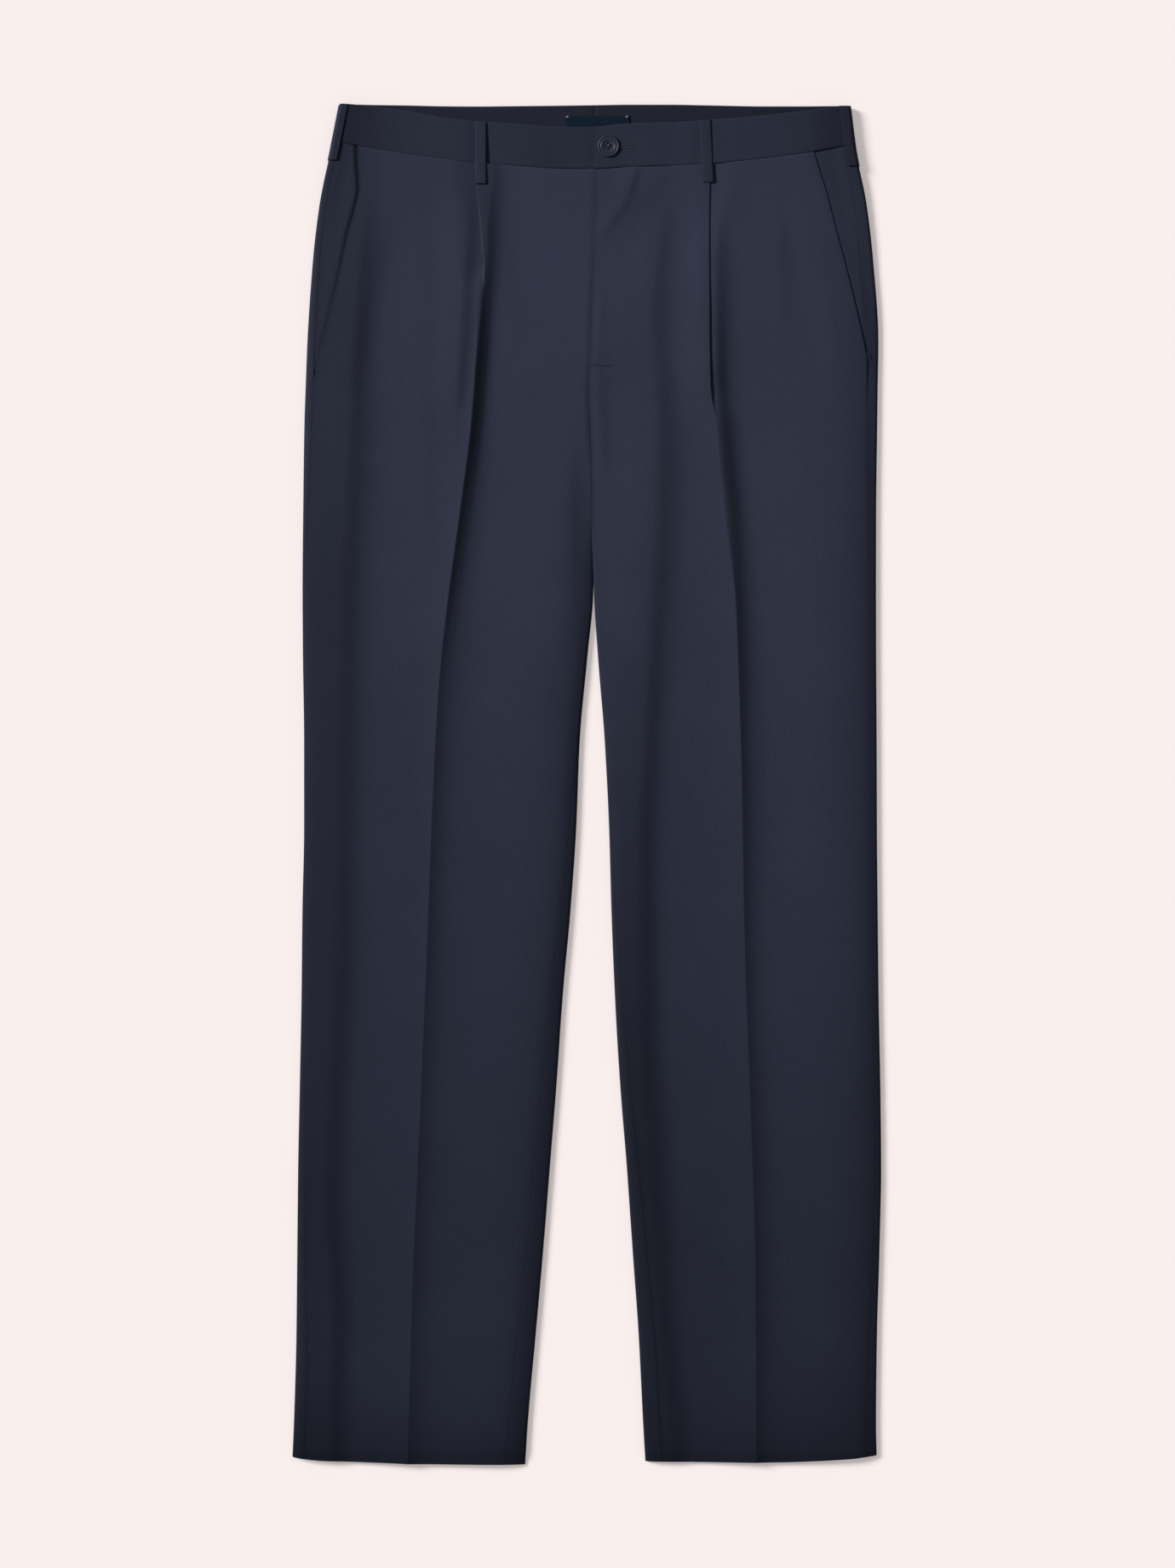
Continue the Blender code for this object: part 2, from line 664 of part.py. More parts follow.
def wall(name, side, thickness, stations_of, finish):
    """Makes a piece of cloth: both faces of a grid of stations, closed all round the rim."""
    drop, out, height, tilt = np.broadcast_arrays(*stations_of)
    grids = []
    mesh = bmesh.new()
    for face in (1, -1):
        x = OUTWARD[side] * (out + face * thickness / 2 * np.cos(tilt))
        z = height + face * thickness / 2 * np.sin(tilt)
        points = np.stack([x, LENGTH / 2 - drop, z], axis=-1) * MM
        grids.append([[mesh.verts.new(point) for point in row] for row in points])
    rows, columns = drop.shape
    for grid in grids:
        for r in range(rows - 1):
            for c in range(columns - 1):
                mesh.faces.new((grid[r][c], grid[r][c + 1], grid[r + 1][c + 1], grid[r + 1][c]))
    rim = [(0, c) for c in range(columns - 1)]
    rim += [(r, columns - 1) for r in range(rows - 1)]
    rim += [(rows - 1, c) for c in range(columns - 1, 0, -1)]
    rim += [(r, 0) for r in range(rows - 1, 0, -1)]
    for (r, c), (r_next, c_next) in zip(rim, rim[1:] + rim[:1]):
        lower = (grids[1][r][c], grids[1][r_next][c_next])
        mesh.faces.new((grids[0][r][c], *lower, grids[0][r_next][c_next]))
    bmesh.ops.recalc_face_normals(mesh, faces=mesh.faces)
    data = bpy.data.meshes.new(name)
    mesh.to_mesh(data)
    mesh.free()
    add_object(name, data, finish)


def principled(name, finish):
    """A plain material of the finish's roughness and colour."""
    roughness, colour = finish
    material = bpy.data.materials.new(name)
    material.use_nodes = True
    shader = material.node_tree.nodes["Principled BSDF"]
    shader.inputs["Base Color"].default_value = (*colour, 1)
    shader.inputs["Roughness"].default_value = roughness
    shader.inputs["Metallic"].default_value = 0
    return material


def add_object(name, data, finish):
    """Puts a finished mesh in the part's collection, shaded smooth but for its real edges."""
    data.shade_smooth()
    data.set_sharp_from_angle(angle=SHARP)
    data.materials.append(principled(name, finish))
    PARTS.objects.link(bpy.data.objects.new(name, data))


def panel(name, side, stretches, rows, lies, finish, upper_face=False):
    """Makes a leg panel or a facing from its stretches, then lays it over what is beneath it."""
    row = np.array(rows, float)[:, None]

    def place(out, upper):
        return panel_drop(side, row, out, 1.0 if upper_face else upper)

    drop, out, height, tilt = settled(side, stretches, columns_of(stretches), place)
    upper = 1.0 if upper_face else (1 + np.sin(tilt)) / 2
    height = height + upper * lies(side, out, drop)
    wall(name, side, WALL, (drop, out, height, tilt), finish)


def front_lies(side, out, drop):
    """Folds of a front, and what lifts it."""
    return relief(side, out, drop) + laps(side, out, drop)


def facing_lies(side, out, drop):
    """A facing follows the front over it, a little further down."""
    return relief(side, out, drop) - FACING_CLEAR - facing_sinks(side, out, drop)


def leg_panels(side):
    """One side's front, back and pocket facing."""
    facing_rows = [row for row in ROWS if row <= FACING_END]
    facing = ((facing_stretch, FACING_COLUMNS),)
    panel(f"front_{side}", side, FRONT_STRETCHES, ROWS, front_lies, CLOTH, upper_face=True)
    panel(f"back_{side}", side, BACK_STRETCHES, ROWS, relief, CLOTH)
    panel(f"side_pocket_{side}", side, facing, facing_rows, facing_lies, FACING, upper_face=True)


def waistband(side):
    """One half of the waistband, from its front end round the side fold to the centre back."""
    share = np.linspace(0, 1, BAND_ROWS)[:, None]

    def place(out, upper):
        x = OUTWARD[side] * out
        top = upper * waist("front_top", x) + (1 - upper) * waist("back_top", x)
        seam = upper * waist("front_seam", x) + (1 - upper) * waist("back_seam", x)
        return top + (seam - SEAM - top) * share

    count = columns_of(BAND_STRETCHES)
    wall(f"waistband_{side}", side, BAND_WALL, settled(side, BAND_STRETCHES, count, place), CLOTH)


def strip_rows(start, stop, count):
    """Shares along a strip and the drops at them, as columns."""
    share = np.linspace(0, 1, count)[:, None]
    return share, start + (stop - start) * share


def front_loop(side):
    """A belt loop on the front face, sewn down at the waistband's edge and on the pleat below it."""
    start, stop, centre = FRONT_LOOPS[side]
    share, drop = strip_rows(start, stop, LOOP_ROWS)
    out = centre + LOOP_WIDTH * np.array([[-0.5, 0.0, 0.5]])
    end = np.full((1, 3), stop)
    pleat = front_top(end) + pleat_fold(side, end)["rises"] + relief(side, out, end)
    base = BAND_TOP + (pleat.max() - BAND_TOP) * share
    stands = LOOP_STANDS * np.sqrt(np.sin(math.pi * share))
    height = base + GAP + TRIM_WALL / 2 + stands
    wall(f"belt_loop_front_{side}", side, TRIM_WALL, (drop, out, height, np.array(TURN)), TRIM_CLOTH)


def side_loop(side):
    """A belt loop that turns over the waistband's side fold, made from the band's points moved out."""
    start, stop, reach = SIDE_LOOPS[side]
    share, drop = strip_rows(start, stop, LOOP_ROWS)
    arc = np.linspace(arc_to(reach), -SIDE_LOOP_WRAPS, LOOP_COLUMNS)[None, :]
    inset, height, angle = rolled(arc, 1.0, BACK_LIFT, BAND_TOP, 0.0)
    off = GAP + TRIM_WALL / 2 + LOOP_STANDS / 2 * np.sqrt(np.sin(math.pi * share))
    out = outline(side, "side", drop) - inset + off * np.cos(angle)
    height = height + off * np.sin(angle)
    wall(f"belt_loop_side_{side}", side, TRIM_WALL, (drop, out, height, angle), TRIM_CLOTH)


def flat_strip(name, x_range, drops, underside, thickness, finish):
    """A plain piece that lies level."""
    drop = np.array(drops)[:, None]
    out = np.array(x_range)[None, :]
    wall(name, LEFT, thickness, (drop, out, np.array(underside + thickness / 2), np.array(TURN)), finish)


def turned(name, profile, steps):
    """A solid turned round Z from a profile that runs from its top centre to its bottom centre."""
    data = bpy.data.meshes.new(name)
    points = [(radius * MM, 0, height * MM) for radius, height in profile]
    data.from_pydata(points, [(i, i + 1) for i in range(len(points) - 1)], [])
    thing = bpy.data.objects.new(name, data)
    screw = thing.modifiers.new("turn", "SCREW")
    screw.steps = screw.render_steps = steps
    screw.use_merge_vertices = True
    screw.merge_threshold = 0.00001
    screw.use_smooth_shade = True
    return thing


def button():
    """The waist button, with a raised rim and four thread holes."""
    place = np.array((BUTTON_X, LENGTH / 2 - BUTTON_DROP, BAND_TOP + BAND_WALL + 2 * GAP)) * MM
    thing = turned("button", BUTTON_PROFILE, BUTTON_STEPS)
    thing.location = place
    PARTS.objects.link(thing)
    thing.data.materials.append(principled("button", BUTTON))
    for k in range(HOLES):
        angle = math.tau / HOLES * (k + 0.5)
        width = HOLE_WIDTH * MM
        bpy.ops.mesh.primitive_cylinder_add(vertices=HOLE_SIDES, radius=width / 2, depth=HOLE_CUT * MM)
        hole = bpy.context.object
        hole.name = f"button_hole_{k + 1}"
        reach = HOLE_PLACE * MM
        hole.location = place + np.array((math.cos(angle) * reach, math.sin(angle) * reach, 0))
        hole.hide_render = True
        hole.display_type = "WIRE"
        bpy.context.collection.objects.unlink(hole)
        CUTTERS.objects.link(hole)
        cut = thing.modifiers.new(hole.name, "BOOLEAN")
        cut.operation = "DIFFERENCE"
        cut.solver = "EXACT"
        cut.object = hole


def collection(name):
    """A new collection in the scene."""
    made = bpy.data.collections.new(name)
    bpy.context.scene.collection.children.link(made)
    return made


for old in list(bpy.data.objects):
    bpy.data.objects.remove(old)
PARTS = collection("pleated_dress_trousers")
CUTTERS = collection("cutters")
CUTTERS.hide_render = True

for wearer_side in (RIGHT, LEFT):
    leg_panels(wearer_side)
    waistband(wearer_side)
    front_loop(wearer_side)
    side_loop(wearer_side)
flat_strip("belt_loop_back", BACK_LOOP_X, BACK_LOOP_DROPS, 0.0, TRIM_WALL, TRIM_CLOTH)
flat_strip("label", LABEL_X, LABEL_DROPS, BACK_LIFT + BAND_WALL + GAP, LABEL_WALL, LABEL)
button()
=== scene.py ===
"""Dresses a pair of pleated dress trousers, laid flat on their back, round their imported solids.

Cloth is worked out as grids of stations. Rows run across the garment at a drop below the top of the
back waistband, columns run outwards from the centre, and each station has a place on the middle of
the cloth and the angle of its normal. Sides are the wearer's: "out" is the distance from the X = 0
plane towards a side, so out is -X on the right and +X on the left. Sizes are in millimetres until a
mesh is made.
"""

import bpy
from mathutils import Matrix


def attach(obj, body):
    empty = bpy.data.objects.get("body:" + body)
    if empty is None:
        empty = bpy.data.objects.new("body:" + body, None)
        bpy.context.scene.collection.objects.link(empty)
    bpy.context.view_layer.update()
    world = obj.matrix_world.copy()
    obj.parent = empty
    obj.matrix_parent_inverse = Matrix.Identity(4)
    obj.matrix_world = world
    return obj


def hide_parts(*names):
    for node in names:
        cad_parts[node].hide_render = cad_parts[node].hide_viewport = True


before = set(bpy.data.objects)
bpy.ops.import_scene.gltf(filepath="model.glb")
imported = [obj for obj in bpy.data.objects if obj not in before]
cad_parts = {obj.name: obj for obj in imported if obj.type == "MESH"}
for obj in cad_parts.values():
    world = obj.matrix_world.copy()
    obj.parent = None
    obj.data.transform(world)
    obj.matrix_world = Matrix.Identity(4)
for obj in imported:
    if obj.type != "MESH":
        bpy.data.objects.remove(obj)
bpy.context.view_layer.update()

import logging
import math
from collections.abc import Callable
from dataclasses import dataclass, field
from enum import Enum
from functools import partial
from typing import Any

import bpy
import numpy as np
from mathutils import Vector

# Metres in a millimetre, a quarter turn, and the garment's length in millimetres.
MM = 0.001
TURN = math.pi / 2
LENGTH = 1054.0
# Rounds in which the drops of a piece and its places are worked out from each other.
SETTLINGS = 4
# Sines of the normal's angle between which a station passes from the lower face to the front one.
UPPER_BETWEEN = (-0.35, 0.55)
# A lean that keeps the direction up from running along a thread.
NOT_PARALLEL = 0.01
# Channels of a shell's grid, the last of which holds the painted light and shade that scales
# the cloth's colour, and sockets of the node that mixes colours.
PLACE, NORMAL, EXTRA, PAINTED_LIGHT = slice(0, 3), slice(3, 6), slice(6, 9), slice(8, 9)
MIX_SHARE, MIX_FIRST, MIX_SECOND, MIX_RESULT = 0, 6, 7, 2
LOG = logging.getLogger("trousers")
Array = np.ndarray
Number = Array | float
Colour = tuple[float, float, float]
Pair = tuple[float, float]
Socket = bpy.types.NodeSocket
Material = bpy.types.Material
Thing = bpy.types.Object
Stations = tuple[Number, Number, Number]
Stretch = tuple[Callable[[Array], Stations], int]


class Side(Enum):
    """One of the wearer's sides."""

    RIGHT = "right"
    LEFT = "left"

    @property
    def outward(self) -> float:
        """The sign of X towards this side."""
        return -1.0 if self is Side.RIGHT else 1.0


class Edge(Enum):
    """A folded edge of a leg."""

    INNER = "inner"
    SIDE = "side"


class Table:
    """A short table of named columns that is read along its first column."""

    def __init__(self, columns: str, *rows: tuple[float, ...]) -> None:
        """Keeps the columns.

        Args:
            columns: the columns' names, parted by spaces.
            rows: a row of numbers for each place.
        """
        self.columns = dict(zip(columns.split(), np.array(rows, float).T))
        self.places = next(iter(self.columns.values()))

    def at(self, column: str, place: Number) -> Number:
        """Reads a column through cubics whose slopes never overshoot.

        Each slope is the harmonic mean of its two neighbours' slopes, or 0 where they differ in sign.

        Args:
            column: the column's name.
            place: places along the first column.

        Returns:
            The column's values there.
        """
        values = self.columns[column]
        step = np.diff(self.places)
        rise = np.diff(values) / step
        product = rise[:-1] * rise[1:]
        same = product > 0
        mean = np.where(same, 2 * product / np.where(same, rise[:-1] + rise[1:], 1.0), 0.0)
        slope = np.concatenate([rise[:1], mean, rise[-1:]])
        place = np.clip(place, self.places[0], self.places[-1])
        k = np.clip(np.searchsorted(self.places, place, side="right") - 1, 0, len(step) - 1)
        s = (place - self.places[k]) / step[k]
        start = values[k] * (1 + 2 * s) + slope[k] * step[k] * s
        end = values[k + 1] * (3 - 2 * s) + slope[k + 1] * step[k] * (s - 1)
        return start * (1 - s) ** 2 + end * s**2


def ease(low: Number, high: Number, value: Number) -> Array:
    """A smooth step from 0 at low to 1 at high, 3s² - 2s³."""
    s = np.clip((value - low) / (high - low), 0.0, 1.0)
    return s * s * (3 - 2 * s)


def upper_share(tilt: Array) -> Array:
    """How far a station is on the front face, from 0 on the lower face to 1 on the upper one."""
    return ease(*UPPER_BETWEEN, np.sin(tilt))


def spread(low: Number, high: Number, count: int, first: int = 0, last: int = 0) -> Array:
    """Evenly spaced columns.

    Args:
        low: where they begin.
        high: where they end.
        count: how many are made.
        first: how many are left out at the beginning.
        last: how many are left out at the end.

    Returns:
        The places, with the columns along the last axis.
    """
    share = np.arange(first, count + first) / (count + first + last - 1)
    return low + (high - low) * share


def pressed(distance: Array, slow: Array, quick: Array, power: Array) -> Array:
    """A pressed ridge of height 1.

    It falls exponentially with the distance towards -X, and with a power of it towards +X.

    Args:
        distance: X from the crest.
        slow: reach towards -X.
        quick: reach towards +X.
        power: 1 for a sharp crest and 2 for a round one.

    Returns:
        The height.
    """
    return np.exp(np.where(distance < 0, distance / slow, -np.power(np.abs(distance) / quick, power)))


def soft(distance: Array, slow: float, quick: float) -> Array:
    """A soft ridge of height 1: a bell whose reach is slow towards -X and quick towards +X."""
    return np.exp(-np.square(distance / np.where(distance < 0, slow, quick)))


def by_side(right: Any, left: Any) -> Any:
    """A field that holds a value for each side."""
    return field(default_factory=lambda: {Side.RIGHT: right, Side.LEFT: left})


@dataclass(frozen=True)
class Fold:
    """A long soft fold: a table of its crest's X and height and of its two reaches, by the drop."""

    course: Table
    fades: float = 40.0

    @classmethod
    def along(cls, *rows: tuple[float, ...], fades: float = 40.0) -> "Fold":
        """A fold from rows of the drop, X, the height, and the reaches towards -X and +X."""
        return cls(Table("drop x height slow quick", *rows), fades)

    def lift(self, x: Array, drop: Array) -> Array:
        """The fold's height, a soft ridge that fades out at the course's ends but not at the hem.

        Args:
            x: X of the stations.
            drop: their drops.

        Returns:
            How far the cloth is lifted.
        """
        course, first, last = self.course, self.course.places[0], self.course.places[-1]
        strength = ease(first - self.fades, first + self.fades, drop)
        if last < LENGTH:
            strength = strength * (1 - ease(last - self.fades, last + self.fades, drop))
        bell = soft(x - course.at("x", drop), course.at("slow", drop), course.at("quick", drop))
        return course.at("height", drop) * strength * bell


@dataclass(frozen=True)
class Cut:
    """The garment's lines as it lies.

    The half seam is below 0 because the rounded edges that meet at a seam run into each other.
    """

    half_seam: float = -0.1
    outline: Table = Table(
        "drop right_side right_inner left_inner left_side",
        (0, -191.2, 6.3, 6.3, 203.8), (36, -198.3, 6.3, 6.3, 208.4),
        (78, -207, 5.3, 5.3, 217), (118, -211.9, 4.6, 4.6, 221.8),
        (184, -216.5, 2.6, 2.6, 226.2), (217, -217.8, 0.2, 0.2, 225.7),
        (250, -218.9, 2, 2, 225.3), (316, -219.8, 3.3, 3.3, 224.5),
        (375, -220.3, 5.3, 5.3, 224.4), (428, -220, 0.7, 8.6, 224.5),
        (494, -219.1, -5.3, 13.9, 224.9), (560, -219.1, -7.9, 17.2, 225.1),
        (626, -220.4, -12.5, 19.1, 225.7), (692, -221.1, -18.5, 21.8, 226.4),
        (758, -222.4, -23.1, 25.7, 227.7), (824, -223.7, -28.4, 31, 228.4),
        (890, -224.4, -33.7, 35.6, 227), (956, -225.1, -39.6, 40.3, 225.1),
        (1022, -227, -45.5, 43.6, 224.4), (1054, -228.4, -47.5, 45.5, 225.1),
    )
    seams: Table = Table(
        "drop right_side right_inner left_inner left_side",
        (36, 5.5, 0, 0, 8), (150, 6.1, 0, 0, 10), (217, 6.6, 0, 0, 8.7),
        (316, 4, 0, 0, 6), (383, 1.5, 0, 0, 4.6), (480, 0.8, 1, 0.6, 4.2),
        (580, 0.8, 6.2, 2.5, 4), (712, 1.5, 9.6, 6.3, 4.2), (780, 5.6, 11.7, 8.3, 4.6),
        (910, 7.3, 12.7, 11.9, 5.1), (976, 9.2, 14.3, 13.2, 7.5), (1054, 9.5, 14.5, 13.8, 7.8),
    )
    back_seam: float = 34.0
    waist: Table = Table(
        "x back_top front_top front_seam",
        (-202, 0.1, 0.1, 28), (-185, 0.7, 0.9, 31.4), (-165, 1.2, 3.1, 35.6),
        (-138, 1.6, 6.4, 39.7), (-112, 2.2, 11.2, 43.4), (-85, 2.4, 14.5, 46.8),
        (-53, 2.1, 16.4, 48.9), (-17, 1.7, 18.6, 50.9), (5, 1.4, 18.6, 51.1),
        (31, 1, 16.1, 49.7), (66, 1, 15.1, 48.6), (94, 1.5, 13.3, 47.2),
        (138, 2.3, 9.6, 42.8), (166, 2.3, 6.5, 39.4), (189, 2.1, 3.8, 35.2),
        (212, 1.9, 1.9, 32),
    )
    hems: Table = Table(
        "share right left",
        (0, 1054, 1051.4), (0.47, 1053.4, 1052.2), (0.53, 1053, 1052.2), (0.88, 1050.6, 1049.4),
        (1, 1048.1, 1046.8),
    )
    creases: Table = Table(
        "drop right left",
        (46, -87, 96.5), (65, -85.4, 95.7), (87, -83.2, 95.4), (108, -81.2, 95.3),
        (130, -79.9, 95.4), (158, -79.9, 95.6), (184, -82.5, 95.7), (217, -87.1, 96.5),
        (250, -90.4, 101), (316, -99, 108.9), (382, -107.6, 114.8), (448, -114.2, 117.5),
        (514, -118.1, 119.5), (646, -123.4, 122.1), (778, -128.7, 126.7), (910, -134.6, 130.7),
        (1054, -138.6, 131.3),
    )
    mouths: Table = Table(
        "drop right left",
        (30, -177.5, 173.5), (50, -176.8, 179.6), (66, -175.8, 184.8), (80, -178.6, 188.6),
        (99, -184, 193.4), (130, -190.4, 201.6), (158, -197, 208.4), (188, -204.6, 215.1),
        (207, -209.4, 219), (230, -216, 225), (300, -240, 249),
    )

    def edge(self, side: Side, edge: Edge, drop: Number) -> Number:
        """Distance out of a folded edge, moved by half a seam's gap at the centre."""
        kept = self.half_seam if edge is Edge.INNER else 0.0
        return side.outward * self.outline.at(f"{side.value}_{edge.value}", drop) + kept

    def seam(self, side: Side, edge: Edge, drop: Array) -> Array:
        """How far a seam lies in from its folded edge."""
        return self.seams.at(f"{side.value}_{edge.value}", drop)

    def crease(self, side: Side, drop: Array) -> Array:
        """Distance out of the pleat's fold edge and, further down, of the leg's crease."""
        return side.outward * self.creases.at(side.value, drop)

    def mouth(self, side: Side, drop: Array) -> Array:
        """Distance out of the slanted pocket mouth."""
        return side.outward * self.mouths.at(side.value, drop)


@dataclass(frozen=True)
class Lie:
    """How the layers lie on each other, and the folds in them."""

    cut: Cut = Cut()
    wall: float = 1.1
    gap: float = 0.3
    plain: float = 2.0
    roll: float = 3.0
    quarter: float = 3.6
    leg_top: float = 3.4
    waist_top: float = 5.9
    waist_settles: float = 50.0
    loop_wall: float = 1.0
    back_settles: Pair = (52.0, 92.0)
    waist_row: float = 45.0
    hem_row: float = 1051.0
    waist_rows_level: float = 150.0
    hem_rows_level: float = 880.0
    fly_end: float = 205.0
    underlap_waist: float = 36.0
    underlap_fly: float = 8.0
    underlap_narrows: Pair = (52.0, 112.0)
    underlap_ends: float = 20.0
    fly_slope: float = 26.0
    fly_settles: Pair = (250.0, 290.0)
    fork_closes: Pair = (300.0, 378.0)
    facing_hidden: float = 18.0
    facing_slope: float = 22.0
    facing_settles: Pair = (190.0, 240.0)
    facing_clear: float = 0.15
    facing_sinks: float = 0.7
    facing_sinks_from: float = 12.0
    facing_level: float = 130.0
    keeps_off: float = 3.0
    inner_keeps_off: Pair = (6.0, 3.0)
    hem_dips: float = 1.5
    hem_reach: float = 11.0
    swell_height: float = 4.6
    swell_falls: float = 15.0
    swell_reach: float = 75.0
    swell_begins: dict[Side, Pair] = by_side((240.0, 400.0), (60.0, 330.0))
    lap: float = 0.8
    fly_sinks: Table = Table("drop depth", (45, 0.2), (117, 0.22), (157, 0.40), (203, 0.24), (250, 0.36))
    fly_sinks_over: float = 3.0
    mouth_dips_over: float = 3.5
    mouth_dips: Table = Table(
        "drop right left",
        (45, 0.4, 0.35), (85, 0.4, 0.35), (120, 0.3, 0.3), (160, 0.1, 0.2), (200, 0, 0),
    )
    mouth_sinks: Table = Table(
        "drop right left over",
        (45, 1.3, 0, 4), (85, 1, 0, 3.4), (120, 0.7, 0, 3.4), (160, 0.4, 0, 4),
        (200, 0.2, 0, 4),
    )
    crests: dict[Side, Table] = by_side(
        Table(
            "drop x height slow quick power",
            (30, -77.5, 1.8, 30, 8, 1.8), (60, -77.5, 2, 30, 8, 1.8),
            (78, -77.9, 2.6, 30, 8, 1.8), (117, -79.8, 3.8, 32, 8, 1.8),
            (157, -82.8, 5, 34, 7.2, 1.6), (203, -86.1, 5.4, 36, 6.1, 1.5),
            (250, -89.8, 5.4, 38, 6.2, 1.4), (316, -98.1, 5.7, 40, 7.8, 1.25),
            (382, -107, 5.3, 42, 8.4, 1.15), (448, -114.2, 4.2, 42, 9.5, 1.1),
            (514, -118.1, 3.9, 42, 9.5, 1.1), (646, -123.4, 3.6, 42, 9.5, 1.1),
            (778, -128.7, 3.3, 42, 10, 1.05), (910, -134.6, 3.3, 42, 10, 1.05),
            (1054, -138.6, 3.3, 42, 10, 1.05),
        ),
        Table(
            "drop x height slow quick power",
            (130, 98.5, 0, 30, 9, 1.6), (203, 98.8, 2.2, 34, 9, 1.8),
            (250, 100.8, 4.9, 38, 10.5, 2), (316, 106.8, 5.3, 40, 10.8, 2),
            (350, 111, 5.1, 40, 9.6, 1.6), (382, 114.8, 5, 40, 8.6, 1.3),
            (448, 117.6, 4.7, 40, 8.8, 1.2), (514, 119.7, 4.3, 42, 9.3, 1.1),
            (646, 122.1, 3.6, 42, 9.5, 1.1), (778, 126.7, 3.2, 42, 10, 1.1),
            (910, 130.7, 3.2, 42, 10, 1.05), (1054, 131.3, 3.2, 42, 10, 1.05),
        ),
    )
    folds: dict[Side, tuple[Fold, ...]] = by_side(
        (
            Fold.along(
                (90, -174, 1.6, 60, 9), (150, -180, 2.4, 70, 11), (250, -186, 3.3, 80, 14),
                (448, -194, 3.5, 80, 16), (646, -197, 3.3, 80, 15), (778, -203, 3.2, 80, 14),
                (844, -204.5, 3.2, 80, 13), (942, -199, 3.5, 80, 12), (1010, -201, 3, 80, 12),
                (1054, -201, 2.6, 80, 12),
            ),
            Fold.along(
                (65, -93.5, 0.9, 22, 8), (105, -93.5, 1.6, 22, 8), (130, -96, 1.9, 22, 8),
                (158, -98, 2.1, 22, 8), (205, -100, 1.9, 20, 6.5), (245, -103, 0.9, 18, 6),
                fades=28.0,
            ),
            Fold.along(
                (85, -130, 0.4, 22, 9), (220, -129, 0.6, 22, 9), (330, -127, 0.5, 22, 9),
            ),
            Fold.along(
                (75, -66, 0.15, 14, 9), (117, -64, 0.4, 14, 9), (190, -60, 0.3, 14, 9),
                fades=30.0,
            ),
            Fold.along(
                (270, -15, 0.5, 26, 7), (330, -14, 0.8, 26, 7), (400, -15, 0.6, 26, 7),
            ),
        ),
        (
            Fold.along(
                (80, 58, 0.8, 18, 9), (120, 52, 1.7, 26, 11), (158, 48, 2.2, 32, 12),
                (203, 51, 2.2, 34, 12), (250, 53, 3, 34, 13), (330, 51, 3.7, 34, 14),
                (400, 46, 3.7, 36, 14), (482, 43, 3.5, 40, 13), (580, 38, 3.7, 46, 13),
                (712, 39, 3.5, 50, 14), (844, 47, 3, 50, 14), (944, 54, 2.6, 50, 12),
                (1020, 62, 2.2, 50, 12), (1054, 64, 2, 50, 12),
            ),
            Fold.along(
                (76, 105, 0.7, 12, 8), (97, 101, 1.5, 14, 8), (120, 98.8, 2.4, 20, 9),
                (158, 98.5, 2.9, 24, 9), (203, 98.5, 2.8, 26, 9), (230, 100.5, 1.4, 22, 8),
                fades=24.0,
            ),
            Fold.along(
                (75, 146, 0.5, 20, 9), (117, 147, 0.7, 20, 9), (180, 149, 0.5, 20, 9),
                fades=30.0,
            ),
            Fold.along(
                (52, 37.5, 0.9, 10, 4), (75, 29, 0.7, 10, 5), (96, 15, 0.6, 10, 5),
                (108, 6, 0.4, 10, 5),
                fades=14.0,
            ),
            Fold.along(
                (140, 10, 0.5, 14, 5), (165, 9, 0.7, 14, 5), (205, 7, 0.6, 14, 6),
                (250, 9, 0.8, 14, 6), (290, 11, 0.5, 14, 6),
                fades=25.0,
            ),
        ),
    )

    def front_top(self, drop: Array) -> Array:
        """Height of the fronts' upper face before any fold: it settles exponentially below the waist."""
        past = np.maximum(drop - self.waist_row, 0.0)
        return self.leg_top + (self.waist_top - self.leg_top) * np.exp(-past / self.waist_settles)

    def back_underside(self, drop: Array) -> Array:
        """Height of the backs' lower face, which the back belt loop lifts at the waist."""
        return (self.loop_wall + self.gap) * (1 - ease(*self.back_settles, drop))

    def fork_closed(self, drop: Array) -> Array:
        """1 below the fork, where each leg's inner edge is folded, and 0 above it."""
        return ease(*self.fork_closes, drop)

    def underlap(self, drop: Array) -> Array:
        """Width of the right front's run under the left one.

        Args:
            drop: drops.

        Returns:
            The width.
        """
        wide = self.underlap_waist - self.underlap_fly
        width = self.underlap_fly + wide * (1 - ease(*self.underlap_narrows, drop))
        return width * (1 - ease(self.fly_end, self.fly_end + self.underlap_ends, drop))

    def relief(self, side: Side, out: Array, drop: Array) -> Array:
        """Height of the crease, the soft folds, the leg's swell and the hem's dip over the plain front.

        The swell stands highest a little in from the leg's edge towards +X and falls away to that edge
        exponentially. The sum fades out at the leg's two edges.

        Args:
            side: the leg's side.
            out: distances out.
            drop: drops.

        Returns:
            The added height.
        """
        x = side.outward * out
        crest = self.crests[side]
        reaches = (crest.at(column, drop) for column in ("slow", "quick", "power"))
        height = crest.at("height", drop) * pressed(x - crest.at("x", drop), *reaches)
        for fold in self.folds[side]:
            height = height + fold.lift(x, drop)
        from_side = self.cut.edge(side, Edge.SIDE, drop) - out
        from_inner = out - self.cut.edge(side, Edge.INNER, drop)
        far = np.maximum(from_side if side is Side.LEFT else from_inner, 0.0)
        swell = (1 - np.exp(-far / self.swell_falls)) * np.exp(-np.square(far / self.swell_reach))
        height = height + self.swell_height * swell * ease(*self.swell_begins[side], drop)
        above, below = self.inner_keeps_off
        inner_reach = above + (below - above) * self.fork_closed(drop)
        for distance, reach in ((from_side, self.keeps_off), (from_inner, inner_reach)):
            height = height * (1 - np.exp(-np.maximum(distance, 0.0) / reach))
        return height - self.hem_dips * ease(self.hem_reach, 0.0, LENGTH - drop)

